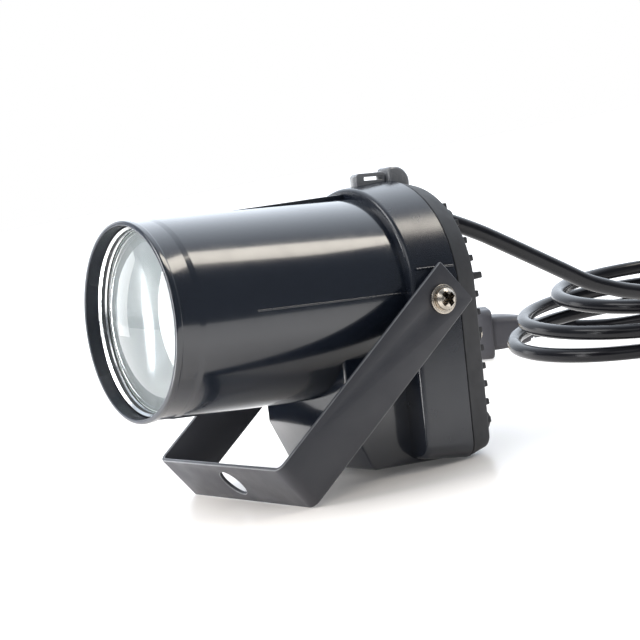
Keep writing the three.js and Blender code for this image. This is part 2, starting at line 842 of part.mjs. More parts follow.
// Places a part that is turned along X on one side of the lamp.
function onSide(hand, name, made, out, finish) {
  const mesh = add(lamp, name, surface(made), finish);
  mesh.position.set(hand * out, pivot.y, pivot.z);
  if (hand < 0) mesh.rotation.z = Math.PI;
  return mesh;
}

// Light engine: finned sink, board with its chip, and the optic in its holder.
function sinkHoles(radius, from, to) {
  return [-1, 1].map((hand) => (
    rod("y", radius, from, to, smallFaces, new THREE.Vector3(hand * sinkPostSide, 0, 0))
  ));
}

function starHoles(radius, from, to) {
  return [-1, 1].map((hand) => (
    rod("y", radius, from, to, smallFaces, new THREE.Vector3(0, 0, hand * starScrewPlace))
  ));
}

function heatSink() {
  const back = sinkFace + sinkBase;
  const base = rod("y", sinkRadius, sinkFace, back, roundFaces);
  const fins = [];
  for (let i = 0; i < finCount; i += 1) {
    const x = finSpan * (2 * i / (finCount - 1) - 1);
    const half = Math.sqrt((finSpan + 2 * finThickness) ** 2 - x ** 2);
    fins.push(block(
      x - finThickness / 2, x + finThickness / 2, back - sinkBase / 2, back + finLength, -half, half,
    ));
  }
  const beyond = back + cutOver;
  return cut(
    joined(base, ...fins),
    ...sinkHoles(sinkScrewRadius + screwPlay, sinkFace - cutOver, beyond),
    ...starHoles(starScrewRadius + biteGap, sinkFace - cutOver, sinkFace + sinkBase - seatGap),
    ...leadHoles(),
  );
}

function ledBoard() {
  const back = starFace + starThickness;
  const disc = rod("y", starRadius, starFace, back, middleFaces);
  return cut(disc, ...starHoles(starScrewRadius + screwPlay, starFace - cutOver, back + cutOver));
}

function ledChip() {
  const half = chipSide / 2;
  const body = block(-half, half, chipFace, chipFace + chipThickness, -half, half);
  const profile = [[0, chipFace + chipThickness / 2], [chipDome, chipFace + chipThickness / 2]];
  const arcSteps = 5;
  for (let i = 0; i <= arcSteps; i += 1) {
    const turn = Math.PI / 2 * i / arcSteps;
    profile.push([chipDome * Math.cos(turn), chipFace - chipDome * Math.sin(turn)]);
  }
  return body.add(turned("y", profile, smallFaces));
}

// The optic is a solid bell with a well at its neck that the chip's dome looks into.
function optic() {
  const well = chipDome + seatGap + cutOver;
  const profile = [
    [0, opticFront], [opticRadius, opticFront], [opticRadius, opticFront + opticRim],
  ];
  const arcSteps = 6;
  for (let i = 0; i <= arcSteps; i += 1) {
    const share = i / arcSteps;
    const y = opticFront + opticRim + (opticLength - opticRim) * share;
    profile.push([opticNeck + (opticRadius - edgeBreak - opticNeck) * Math.sqrt(1 - share), y]);
  }
  profile.push([well, opticBack], [well, opticBack - opticWell], [0, opticBack - opticWell]);
  return turned("y", profile, middleFaces);
}

function opticHolder() {
  const inner = opticRadius + seatGap;
  const outer = inner + holderWall;
  const back = starFace - seatGap;
  const lip = opticFront - seatGap - holderLip;
  return turned("y", [
    [inner - holderLip, lip], [outer, lip], [outer, back], [inner, back], [inner, opticFront - seatGap],
    [inner - holderLip, opticFront - seatGap],
  ], middleFaces);
}

// Driver board with its transformer, capacitor and fuse.
function driverBoard() {
  const low = boardTop - boardThickness;
  const slab = block(
    -boardHalfWidth, boardHalfWidth, boardFront, boardFront + boardLength, low, boardTop,
  );
  return cut(slab, ...boardPlaces().map((place) => (
    rod("z", boardScrewRadius + screwPlay, low - cutOver, boardTop + cutOver, smallFaces, place)
  )));
}

function transformer() {
  const low = boardTop + partLift;
  const y = boardFront + boardLength / 2;
  const core = block(-coreWidth / 2, coreWidth / 2, y - coreDepth / 2, y + coreDepth / 2,
    low, low + coreHeight);
  const middle = low + coreHeight / 2;
  const reach = coreDepth / 2 + bobbinOverhang;
  const half = coreWidth / 2 - bobbinOverhang;
  const bobbin = new THREE.Shape();
  const round = bobbinHeight / 3;
  bobbin.absarc(half - round, middle + bobbinHeight / 2 - round, round, 0, Math.PI / 2);
  bobbin.absarc(round - half, middle + bobbinHeight / 2 - round, round, Math.PI / 2, Math.PI);
  bobbin.absarc(round - half, middle - bobbinHeight / 2 + round, round, Math.PI, 1.5 * Math.PI);
  bobbin.absarc(half - round, middle - bobbinHeight / 2 + round, round, 1.5 * Math.PI, 2 * Math.PI);
  return core.add(stretched("y", bobbin, y - reach, y + reach));
}

function capacitor() {
  const low = boardTop + partLift;
  const place = new THREE.Vector3(coreWidth / 2 + capacitorRadius + bobbinOverhang,
    boardFront + boardLength / 2, low);
  return turned("z", [
    [0, 0], [capacitorRadius - edgeBreak, 0], [capacitorRadius, edgeBreak],
    [capacitorRadius, capacitorHeight - edgeBreak], [capacitorRadius - edgeBreak, capacitorHeight],
    [0, capacitorHeight],
  ], smallFaces, place);
}

function fuse() {
  const cap = fuseRadius + fuseCapStep;
  const x = -coreWidth / 2 - bobbinOverhang - cap;
  const from = boardFront + (boardLength - fuseLength) / 2;
  const to = from + fuseLength;
  const place = new THREE.Vector3(x, 0, boardTop + partLift + cap);
  return turned("y", [
    [0, from], [cap, from], [cap, from + fuseCap], [fuseRadius, from + fuseCap],
    [fuseRadius, to - fuseCap], [cap, to - fuseCap], [cap, to], [0, to],
  ], smallFaces, place);
}

// Strain relief: a neck through the cover between two flanges, and a boot that droops with the lead.
function reliefBoots() {
  const stations = [{ along: 0, radius: reliefRoot }];
  const pitch = reliefBoot / (reliefGrooves + 1);
  for (let i = 1; i <= reliefGrooves; i += 1) {
    const radius = reliefRoot + (reliefTip - reliefRoot) * i / (reliefGrooves + 1);
    const along = i * pitch;
    stations.push(
      { along: along - pitch / 4, radius },
      { along: along - pitch / 5, radius: radius - reliefGrooveDepth },
      { along: along + pitch / 5, radius: radius - reliefGrooveDepth },
      { along: along + pitch / 4, radius },
    );
  }
  stations.push({ along: reliefBoot, radius: reliefTip });
  return stations;
}

function strainRelief() {
  const place = new THREE.Vector3(0, bootRoot, reliefLevel);
  const wall = coverBack - coverWall;
  const inside = wall - seatGap;
  const head = turned("y", [
    [0, inside - reliefBack], [reliefFlange - edgeBreak, inside - reliefBack], [reliefFlange, inside],
    [reliefNeck, inside], [reliefNeck, ribTop + seatGap], [reliefFlange, ribTop + seatGap],
    [reliefFlange, bootRoot - edgeBreak], [reliefFlange - edgeBreak, bootRoot], [0, bootRoot],
  ], middleFaces, place.clone().setY(0));
  const boot = drooped(reliefBoots(), bowRadius, place);
  const stub = rod("y", reliefTip, bootRoot - cutOver, bootRoot, middleFaces, place.clone().setY(0));
  return joined(head, stub, boot);
}

// Inner leads: mains from the strain relief to the board, and the chip's pair through the sink.
function mainsLead(hand) {
  const behind = (sinkFace + sinkBase + finLength + coverBack - coverWall) / 2;
  const start = coverBack - coverWall - 2 * seatGap - reliefBack;
  const x = hand * leadSpread;
  const side = hand * boardHalfWidth / 2;
  return tube([
    new THREE.Vector3(x, start, reliefLevel),
    new THREE.Vector3(x, start - leadBend, reliefLevel),
    new THREE.Vector3(hand * leadBend, behind, reliefLevel - 3 * leadBend),
    new THREE.Vector3(hand * leadBend, behind, 0),
    new THREE.Vector3(hand * 2 * leadBend, behind, boardTop + 4 * leadBend),
    new THREE.Vector3(side, boardFront + boardLength - leadBend, boardTop + 2 * leadBend),
    new THREE.Vector3(side, boardFront + boardLength - leadBend, boardTop + seatGap),
  ], leadRadius, leadSides, leadSteps);
}

function chipLead(hand) {
  const behind = sinkFace + sinkBase + finLength + leadBend;
  const x = hand * leadHoleSide;
  const z = -starRadius - leadHoleDrop;
  return tube([
    new THREE.Vector3(x, boardFront + boardLength - leadBend / 2, boardTop + seatGap),
    new THREE.Vector3(x, behind, boardTop + 2 * leadBend),
    new THREE.Vector3(x, behind, z - 2 * leadBend),
    new THREE.Vector3(x, behind - leadBend, z),
    new THREE.Vector3(x, sinkFace + sinkBase, z),
    new THREE.Vector3(x, sinkFace - seatGap - leadRadius, z),
  ], leadRadius, leadSides, leadSteps);
}

function leadHoles() {
  return [-1, 1].map((hand) => rod("y", 2 * leadRadius, sinkFace - cutOver, sinkFace + sinkBase + cutOver,
    smallFaces, new THREE.Vector3(hand * leadHoleSide, 0, -starRadius - leadHoleDrop)));
}

// Coil: four piled layers. The radius falls and grows at one rate and turns back in each climb.
const coilTurns = coilLayers - 1 + coilEnd / (2 * Math.PI);
const coilPeriod = (coilTurns - (coilLayers - 1) * coilClimb) / coilLayers + coilClimb;

function coilPoint(turns) {
  const layer = Math.min(Math.floor(turns / coilPeriod), coilLayers - 1);
  const climb = Math.max(turns - layer * coilPeriod - (coilPeriod - coilClimb), 0) / coilClimb;
  const level = coilLayers - 1 - layer - (1 - Math.cos(Math.PI * climb)) / 2;
  const phase = (turns + coilClimb / 2) / coilPeriod;
  const swing = Math.abs((phase % 2) - 1) - 1 / 2;
  const radius = coilRadius + coilPitch * swing;
  const angle = 2 * Math.PI * turns;
  const right = radius * Math.cos(angle - coilHeading);
  const rise = Math.tan(coilLean) * (coilRadius + coilPitch - right);
  return new THREE.Vector3(
    coilCentre.x + level * coilDrift * Math.cos(coilHeading) + radius * Math.cos(angle),
    coilCentre.y + level * coilDrift * Math.sin(coilHeading) + radius * Math.sin(angle),
    cordRadius + floorGap + level * coilRise + rise,
  );
}

function straightOn(from, before, length) {
  return from.clone().add(from.clone().sub(before).setLength(length));
}

const coilPoints = [];
for (let i = 0; i <= coilTurns * coilSteps; i += 1) coilPoints.push(coilPoint(i / coilSteps));
const coilStart = straightOn(coilPoints[0], coilPoint(1 / coilSteps / 4), 2 * cordRadius);
const coilFoot = straightOn(
  coilPoints.at(-1), coilPoint((coilPoints.length - 1 - 1 / 4) / coilSteps), 2 * cordRadius,
);
coilPoints.unshift(coilStart);
coilPoints.push(coilFoot);

// The least distance between two stretches of the coil that lie over half a turn apart.
function leastGap() {
  const fine = 4 * coilSteps;
  const samples = [];
  for (let i = 0; i <= coilTurns * fine; i += 1) samples.push(coilPoint(i / fine));
  let least = Infinity;
  for (let i = 0; i < samples.length; i += 1) {
    for (let j = i + fine / 2; j < samples.length; j += 1) {
      least = Math.min(least, samples[i].distanceTo(samples[j]));
    }
  }
  return least - 2 * cordRadius;
}
console.log(`least gap between the coil's loops: ${leastGap().toFixed(2)} mm`);

// Plug: a flange with rounded corners, a tapered grip, a slotted tail, two blades and a pin.
function roundedOutline(width, height, corner) {
  const points = [];
  const corners = [[1, 1, 0], [-1, 1, 1], [-1, -1, 2], [1, -1, 3]];
  for (const [right, up, quarter] of corners) {
    for (let i = 0; i <= arcFaces; i += 1) {
      const turn = Math.PI / 2 * (quarter + i / arcFaces);
      points.push([
        right * (width / 2 - corner) + corner * Math.cos(turn),
        up * (height / 2 - corner) + corner * Math.sin(turn),
      ]);
    }
  }
  return flat(points);
}

function bladePlaces() {
  return [-1, 1].map((hand) => new THREE.Vector3(hand * bladeSpacing / 2, 0, bladeRise));
}

function plugMoulding() {
  const collar = plugFlange + plugBody;
  const flange = lofted([
    { outline: roundedOutline(plugWidth - 2 * edgeBreak, plugHeight - 2 * edgeBreak, plugRound), y: 0 },
    { outline: roundedOutline(plugWidth, plugHeight, plugRound), y: edgeBreak },
    { outline: roundedOutline(plugWidth, plugHeight, plugRound), y: plugFlange - 2 * edgeBreak },
    {
      outline: roundedOutline(plugWidth - 4 * edgeBreak, plugHeight - 4 * edgeBreak, plugRound),
      y: plugFlange,
    },
  ]);
  const grip = lofted(gripShares.map((share) => ({
    outline: roundedOutline(
      bodyWidth - 2 * bodyTaper * share ** 2, bodyHeight - bodyTaper * share ** 2, plugTailTip,
    ),
    y: plugFlange - edgeBreak + (plugBody + edgeBreak) * share,
  })));
  const stations = [[0, collar - edgeBreak], [plugTailRoot, collar - edgeBreak]];
  const pitch = plugTail / (plugGrooves + 1 / 2);
  for (let i = 0; i < plugGrooves; i += 1) {
    const radius = plugTailRoot + (plugTailTip - plugTailRoot) * i / plugGrooves;
    const y = collar + i * pitch;
    stations.push([radius, y + pitch / 3], [radius - plugGrooveDepth, y + pitch / 3]);
    stations.push([radius - plugGrooveDepth, y + 2 * pitch / 3], [radius, y + 2 * pitch / 3]);
  }
  stations.push([plugTailTip, collar + plugTail], [0, collar + plugTail]);
  const tail = turned("y", stations, middleFaces);
  const pockets = bladePlaces().map((place) => block(
    place.x - bladeThickness / 2 - biteGap, place.x + bladeThickness / 2 + biteGap, -cutOver, bladeRoot,
    place.z - bladeWidth / 2 - biteGap, place.z + bladeWidth / 2 + biteGap,
  ));
  const pinPlace = new THREE.Vector3(0, 0, bladeRise - earthDrop);
  const pinPocket = rod("y", earthRadius + biteGap, -cutOver, bladeRoot, smallFaces, pinPlace);
  return cut(joined(flange, grip, tail), ...pockets, pinPocket);
}

function blade(place) {
  const tip = bladeThickness;
  const half = bladeWidth / 2;
  const outline = new THREE.Shape(flat([
    [bladeRoot - biteGap, -half], [bladeRoot - biteGap, half], [tip - bladeLength, half],
    [-bladeLength, half - tip], [-bladeLength, tip - half], [tip - bladeLength, -half],
  ]));
  const made = stretched("x", outline, -bladeThickness / 2, bladeThickness / 2);
  const eyelet = rod("x", bladeHole, -bladeThickness, bladeThickness, smallFaces,
    new THREE.Vector3(0, -bladeLength + 2 * bladeThickness + bladeHole, 0));
  return cut(made, eyelet).translate([place.x, place.y, place.z]);
}

function earthPin() {
  const point = earthRadius / 2;
  return turned("y", [
    [0, bladeRoot - biteGap], [earthRadius, bladeRoot - biteGap], [earthRadius, point - earthLength],
    [earthRadius - point / 2, point / 4 - earthLength], [point, -earthLength], [0, -earthLength],
  ], smallFaces, new THREE.Vector3(0, 0, bladeRise - earthDrop));
}

// Assembly
add(lamp, "shell", surface(shell()), glossBlack);
add(lamp, "retaining_ring", surface(retainingRing()), glossBlack);
add(lamp, "lens", surface(lens()), clearGlass);
add(lamp, "lens_gasket", surface(gasket()), softBlack);
add(lamp, "rear_cover", surface(rearCover()), mattBlack);
coverScrewPlaces().forEach((place, i) => {
  const length = ribTop + stackGap - seam + coverScrewBite - seatGap;
  const seat = place.clone().setY(ribTop + stackGap);
  const made = screw("y", coverScrewRadius, length, coverHeadRadius, coverHeadHeight, seat);
  add(lamp, `cover_screw_${i + 1}`, surface(made), nickel);
});

add(yokeFrame, "yoke", surface(yoke()), coatBlack);
for (const [hand, side] of [[1, "right"], [-1, "left"]]) {
  const washerSeat = yokeOuter + stackGap;
  const headSeat = washerSeat + washerThickness + stackGap;
  const nutSeat = yokeInner - pivotPlay - nutCover - stackGap - nutHeight;
  const length = headSeat - nutSeat;
  const made = screw("x", pivotScrewRadius, length, pivotHeadRadius, pivotHeadHeight);
  onSide(hand, `pivot_washer_${side}`, washer(), washerSeat, nickel);
  onSide(hand, `pivot_screw_${side}`, made, headSeat, nickel);
  onSide(hand, `pivot_nut_${side}`, nut(), nutSeat, zinc);
}

add(lamp, "heat_sink", surface(heatSink()), castAluminium);
[-1, 1].forEach((hand, i) => {
  const seat = new THREE.Vector3(hand * sinkPostSide, sinkFace + sinkBase + stackGap, 0);
  const made = screw("y", sinkScrewRadius, sinkScrewLength, sinkHeadRadius, sinkHeadHeight, seat);
  add(lamp, `sink_screw_${i + 1}`, surface(made), zinc);
});
add(lamp, "led_board", surface(ledBoard()), whiteResin);
[-1, 1].forEach((hand, i) => {
  const seat = new THREE.Vector3(0, stackGap - starFace, hand * starScrewPlace);
  const made = screw("y", starScrewRadius, starScrewLength, starHeadRadius, starHeadHeight, seat);
  add(lamp, `board_screw_${i + 1}`, surface(made), zinc).rotation.z = Math.PI;
});
add(lamp, "led_chip", surface(ledChip()), phosphor);
add(lamp, "optic", surface(optic()), clearResin);
add(lamp, "optic_holder", surface(opticHolder()), softBlack);

add(lamp, "driver_board", surface(driverBoard()), boardGreen);
boardPlaces().forEach((place, i) => {
  const seat = place.clone().setZ(boardTop + stackGap);
  const made = screw("z", boardScrewRadius, boardScrewLength, boardHeadRadius, boardHeadHeight, seat);
  add(lamp, `driver_screw_${i + 1}`, surface(made), zinc);
});
add(lamp, "transformer", surface(transformer()), softBlack);
add(lamp, "capacitor", surface(capacitor()), softBlack);
add(lamp, "fuse", surface(fuse()), clearGlass);

add(lamp, "strain_relief", surface(strainRelief()), softBlack);
add(lamp, "mains_lead_1", mainsLead(-1), softBlack);
add(lamp, "mains_lead_2", mainsLead(1), whiteResin);
add(lamp, "chip_lead_1", chipLead(-1), softBlack);
add(lamp, "chip_lead_2", chipLead(1), whiteResin);

// Stand: the yoke's lower rear edge and the housing's lower rear edge both touch the floor, and the
// lamp's box without the lead is centred over the origin.
const toe = new THREE.Vector2(
  pivot.y - yokeReach * Math.sin(yokeTilt) + yokeWidth / 2 * Math.cos(yokeTilt),
  pivot.z - yokeReach * Math.cos(yokeTilt) - yokeWidth / 2 * Math.sin(yokeTilt),
);
lamp.rotation.x = -Math.atan2(-housingDrop - toe.y, seam - toe.x);
lamp.updateMatrixWorld(true);
const lampBox = new THREE.Box3().setFromObject(lamp, true);
const lampCentre = lampBox.getCenter(new THREE.Vector3());
lamp.position.set(-lampCentre.x, -lampCentre.y, -lampBox.min.z);
lamp.updateMatrixWorld(true);

// Plug: it lies on the edge of its flange and on the lead behind it.
const plug = new THREE.Group();
plug.rotation.order = "ZXY";
plug.rotation.set(-plugTilt, 0, coilHeading - Math.PI / 2);
spotlight.add(plug);
add(plug, "plug_body", surface(plugMoulding()), softBlack);
bladePlaces().forEach((place, i) => add(plug, `plug_blade_${i + 1}`, surface(blade(place)), brass));
add(plug, "plug_earth_pin", surface(earthPin()), brass);
plug.updateMatrixWorld(true);
const plugBox = new THREE.Box3().setFromObject(plug, true);
plug.position.set(plugPlace.x, plugPlace.y, floorGap - plugBox.min.z);
plug.updateMatrixWorld(true);

// Lead: from the strain relief down to the coil, and from the coil to the plug.
const bootEnd = new THREE.Vector3(
  0, bootRoot + bowRadius * Math.sin(reliefDroop), reliefLevel - bowRadius * (1 - Math.cos(reliefDroop)),
);
const bootAhead = bootEnd.clone().add(
  new THREE.Vector3(0, Math.cos(reliefDroop), -Math.sin(reliefDroop)).multiplyScalar(cordMeet),
);
const plugEnd = new THREE.Vector3(0, plugFlange + plugBody + plugTail, 0);
const plugAhead = plugEnd.clone().setY(plugEnd.y + cordMeet);
const spots = (rows) => rows.map((row) => new THREE.Vector3(...row));

function leadBetween(inner, outer, points, last, beyond) {
  const [from, to] = [outer, straightOn(last, beyond, cordMeet)];
  const near = straightOn(from, inner, 2 * cordRadius);
  const far = straightOn(to, last, 2 * cordRadius);
  const path = [from, near, ...spots(points), far, to];
  const length = new THREE.CatmullRomCurve3(path, false, "centripetal").getLength();
  console.log(`free stretch: ${length.toFixed(1)} mm`);
  return tube(path, cordRadius, cordSides, Math.ceil(length / cordStep));
}

add(spotlight, "cord", leadBetween(
  lamp.localToWorld(bootEnd), lamp.localToWorld(bootAhead), runPoints, coilPoints[0], coilPoints[1],
), softBlack);
const coilMade = tube(coilPoints, cordRadius, coilSides, Math.ceil(coilTurns * coilSteps) + 2);
add(spotlight, "cord_coil", coilMade, softBlack);
add(spotlight, "cord_tail", leadBetween(
  plug.localToWorld(plugEnd), plug.localToWorld(plugAhead), tailPoints.toReversed(),
  coilPoints.at(-1), coilPoints.at(-2),
), softBlack);

export default spotlight;
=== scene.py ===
import bpy
import bmesh
from math import acos, ceil, cos, pi, radians, sin, sqrt, tan
from mathutils import Matrix, Vector


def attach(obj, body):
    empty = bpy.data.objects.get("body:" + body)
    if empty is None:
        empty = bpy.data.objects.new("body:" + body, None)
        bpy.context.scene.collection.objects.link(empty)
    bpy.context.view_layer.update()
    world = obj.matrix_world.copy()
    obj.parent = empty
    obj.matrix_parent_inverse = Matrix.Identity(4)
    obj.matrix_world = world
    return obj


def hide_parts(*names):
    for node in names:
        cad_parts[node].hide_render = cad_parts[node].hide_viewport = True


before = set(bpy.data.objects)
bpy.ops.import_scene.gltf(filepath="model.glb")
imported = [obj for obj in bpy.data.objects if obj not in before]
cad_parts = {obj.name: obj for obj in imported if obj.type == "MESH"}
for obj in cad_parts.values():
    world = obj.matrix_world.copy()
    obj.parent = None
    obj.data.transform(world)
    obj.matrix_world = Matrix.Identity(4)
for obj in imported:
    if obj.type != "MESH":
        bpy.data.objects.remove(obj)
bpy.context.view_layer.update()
scene = bpy.context.scene
scene.view_settings.view_transform = "Standard"

# Camera. It looks down a little on the lamp from its front right quarter, through a long lens, and
# is tipped to the right, so the table's level lines climb across the picture.
camera_data = bpy.data.cameras.new("camera")
camera_data.sensor_width = 36
camera_data.lens = 110.9
camera = bpy.data.objects.new("camera", camera_data)
scene.collection.objects.link(camera)
camera_place = Vector((0.6239, -0.3730, 0.1247))
aim = Vector((0, 0.0072, 0.0582))
look = (aim - camera_place).normalized()
level_right = look.cross(Vector((0, 0, 1))).normalized()
level_up = level_right.cross(look)
tip = radians(10.65)
right = level_right * cos(tip) - level_up * sin(tip)
up = level_up * cos(tip) + level_right * sin(tip)
camera.matrix_world = Matrix.Translation(camera_place) @ Matrix((right, up, -look)).transposed().to_4x4()
scene.camera = camera


# Mains lead. A round three-core lead of 6.5 mm in soft dark PVC, extruded, so its sheath has faint
# lines along it. It droops from the strain relief to a loose coil of four turns and ends in the plug.
def open_curve(points, step):
    """A smooth curve through the points, as close as step, on centripetal spacing."""
    ends = [points[0] * 2 - points[1], *points, points[-1] * 2 - points[-2]]
    line = []
    for a, b, c, d in zip(ends, ends[1:], ends[2:], ends[3:]):
        t1 = (b - a).length ** 0.5
        t2 = t1 + (c - b).length ** 0.5
        t3 = t2 + (d - c).length ** 0.5
        count = max(2, ceil((c - b).length / step))
        for i in range(count):
            t = t1 + (t2 - t1) * i / count
            ab = a.lerp(b, t / t1)
            bc = b.lerp(c, (t - t1) / (t2 - t1))
            cd = c.lerp(d, (t - t2) / (t3 - t2))
            abc = ab.lerp(bc, t / t2)
            bcd = bc.lerp(cd, (t - t1) / (t3 - t1))
            line.append(abc.lerp(bcd, (t - t1) / (t2 - t1)))
    return [*line, points[-1]]


def skin(name, positions, faces, material, angle=35):
    """One finished piece from its points and faces, smooth except past the angle."""
    mesh = bpy.data.meshes.new(name)
    mesh.from_pydata([tuple(p) for p in positions], [], faces)
    mesh.materials.append(material)
    mesh.shade_smooth()
    mesh.set_sharp_from_angle(angle=radians(angle))
    piece = bpy.data.objects.new(name, mesh)
    scene.collection.objects.link(piece)
    return piece


def sheathed(name, line, radius, sides, material):
    """A round lead along the line, with its length and its turn in a UV map, in metres and turns."""
    rings = []
    side = Vector((0, 0, 1)).cross(line[1] - line[0]).normalized()
    travelled = [0.0]
    for i, point in enumerate(line):
        before = line[max(i - 1, 0)]
        after = line[min(i + 1, len(line) - 1)]
        along = (after - before).normalized()
        side = (side - along * side.dot(along)).normalized()
        other = along.cross(side)
        rings.append([
            point + (side * cos(2 * pi * k / sides) + other * sin(2 * pi * k / sides)) * radius
            for k in range(sides)
        ])
        if i:
            travelled.append(travelled[-1] + (point - before).length)
    positions = [p for ring in rings for p in ring]
    last = (len(line) - 1) * sides
    faces = []
    for i in range(len(line) - 1):
        for k in range(sides):
            a, b = i * sides + k, i * sides + (k + 1) % sides
            faces.append((a, b, b + sides, a + sides))
    faces.append(tuple(reversed(range(sides))))
    faces.append(tuple(last + k for k in range(sides)))
    piece = skin(name, positions, faces, material)
    layer = piece.data.uv_layers.new(name="sheath")
    for polygon in piece.data.polygons:
        for loop in polygon.loop_indices:
            vertex = piece.data.loops[loop].vertex_index
            ring, k = divmod(vertex, sides)
            turn = k / sides
            if k == 0 and polygon.index % sides == sides - 1:
                turn = 1.0
            layer.data[loop].uv = (travelled[ring], turn)
    return piece


def filled(node, inputs):
    """The node with its inputs, named or numbered, filled in."""
    for socket, value in inputs.items():
        node.inputs[socket].default_value = value
    return node


def wired(tree, *wires):
    """Each wire runs from a node's named output to another node's named or numbered input."""
    for source, output, target, entry in wires:
        tree.links.new(source.outputs[output], target.inputs[entry])


def shader(name, colour, roughness, metallic=0.0):
    """A new material: its node tree, its shader and the object's own coordinates."""
    material = bpy.data.materials.new(name)
    material.use_nodes = True
    tree = material.node_tree
    surface = tree.nodes["Principled BSDF"]
    filled(surface, {"Base Color": (*colour, 1), "Roughness": roughness, "Metallic": metallic})
    place = tree.nodes.new("ShaderNodeTexCoord")
    return material, tree, surface, place.outputs["Object"]


def noise_at(tree, where, size, detail):
    """A noise of that size in metres."""
    noise = filled(tree.nodes.new("ShaderNodeTexNoise"), {"Scale": 1 / size, "Detail": detail})
    tree.links.new(where, noise.inputs["Vector"])
    return noise


def colour_mix(tree, colour):
    """A mix of two colours, the second of which is given."""
    mix = tree.nodes.new("ShaderNodeMix")
    mix.data_type = "RGBA"
    return filled(mix, {"B": (*colour, 1)})


def mottled(tree, surface, where, dark, light, size):
    """The colour wanders between two shades in patches of that size in metres."""
    noise = noise_at(tree, where, size, 3.0)
    mix = filled(colour_mix(tree, light), {"A": (*dark, 1)})
    wired(tree, (noise, "Fac", mix, "Factor"), (mix, "Result", surface, "Base Color"))


def uneven(tree, surface, where, low, high, size):
    """The roughness wanders between two values, as handling and moulding leave it."""
    noise = noise_at(tree, where, size, 4.0)
    spread = tree.nodes.new("ShaderNodeMapRange")
    filled(spread, {"From Min": 0.3, "From Max": 0.7, "To Min": low, "To Max": high})
    wired(tree, (noise, "Fac", spread, "Value"), (spread, "Result", surface, "Roughness"))


def grained(tree, surface, where, size, depth, strength=1.0, under=None):
    """A fine grain stands in the surface, of that size and depth in metres."""
    noise = noise_at(tree, where, size, 2.0)
    bump = filled(tree.nodes.new("ShaderNodeBump"), {"Strength": strength, "Distance": depth})
    wired(tree, (noise, "Fac", bump, "Height"), (bump, "Normal", surface, "Normal"))
    if under is not None:
        tree.links.new(under, bump.inputs["Normal"])
    return bump.outputs["Normal"]


lead_radius, lead_sides, lead_step = 0.00325, 20, 0.0025
floor_gap, butt_gap = 0.0001, 0.0003
pvc, pvc_tree, pvc_surface, pvc_object = shader("lead pvc", (0.014, 0.014, 0.018), 0.2)
filled(pvc_surface, {"Specular IOR Level": 0.34})
sheath_map = pvc_tree.nodes.new("ShaderNodeUVMap")
sheath_map.uv_map = "sheath"
drawn = filled(pvc_tree.nodes.new("ShaderNodeMapping"), {"Scale": (40, 60, 1)})
wired(pvc_tree, (sheath_map, "UV", drawn, "Vector"))
mottled(pvc_tree, pvc_surface, pvc_object, (0.01, 0.01, 0.013), (0.018, 0.018, 0.023), 0.012)
uneven(pvc_tree, pvc_surface, pvc_object, 0.14, 0.24, 0.006)
lines = grained(pvc_tree, pvc_surface, drawn.outputs["Vector"], 1.0, 0.00005, 0.5)
grained(pvc_tree, pvc_surface, pvc_object, 0.0006, 0.00002, 0.5, under=lines)

pitch = radians(-5.6154)
lamp_place = Matrix.Translation((0, -0.0704926, 0.0732571)) @ Matrix.Rotation(pitch, 4, "X")
run_points = [
    (-0.0001, 0.0872, 0.0764), (-0.0002, 0.0982, 0.07), (-0.0003, 0.1112, 0.0622),
    (-0.0005, 0.1242, 0.0544), (-0.0008, 0.1361, 0.0474), (-0.0009, 0.1467, 0.0429),
    (-0.001, 0.1573, 0.0392), (-0.0015, 0.1786, 0.0339), (-0.0022, 0.2, 0.031),
    (-0.0034, 0.2222, 0.0297), (-0.0042, 0.2382, 0.0295),
]
tail_points = [(-0.1555, 0.2496, 0.0079), (-0.1485, 0.256, 0.0064), (-0.1398, 0.2632, 0.0056)]
boot_length = 0.014
boot_droop = radians(20)
boot_bow = boot_length / boot_droop
boot_root = 0.1271
relief_level = 0.027
boot_end = Vector((
    0, boot_root + boot_bow * sin(boot_droop), relief_level - boot_bow * (1 - cos(boot_droop)),
))
boot_out = Vector((0, cos(boot_droop), -sin(boot_droop)))
coil_centre = Vector((-0.086, 0.2267))
coil_radius, coil_pitch, coil_rise, coil_drift = 0.063, 0.006, 0.0082, 0.011
coil_layers, coil_climb, coil_steps = 4, 0.5, 72
coil_heading = radians(58.65)
coil_end = radians(128.65)
coil_lean = radians(2.9)
coil_turns = coil_layers - 1 + coil_end / (2 * pi)
coil_period = (coil_turns - (coil_layers - 1) * coil_climb) / coil_layers + coil_climb


def coil_point(turns):
    """A point of the four piled layers, whose radius falls and grows and turns back in each climb."""
    layer = min(int(turns // coil_period), coil_layers - 1)
    climb = max(turns - layer * coil_period - (coil_period - coil_climb), 0) / coil_climb
    level = coil_layers - 1 - layer - (1 - cos(pi * climb)) / 2
    phase = (turns + coil_climb / 2) / coil_period
    radius = coil_radius + coil_pitch * (abs(phase % 2 - 1) - 0.5)
    angle = 2 * pi * turns
    lean = tan(coil_lean) * (coil_radius + coil_pitch - radius * cos(angle - coil_heading))
    return Vector((
        coil_centre.x + level * coil_drift * cos(coil_heading) + radius * cos(angle),
        coil_centre.y + level * coil_drift * sin(coil_heading) + radius * sin(angle),
        lead_radius + floor_gap + level * coil_rise + lean,
    ))


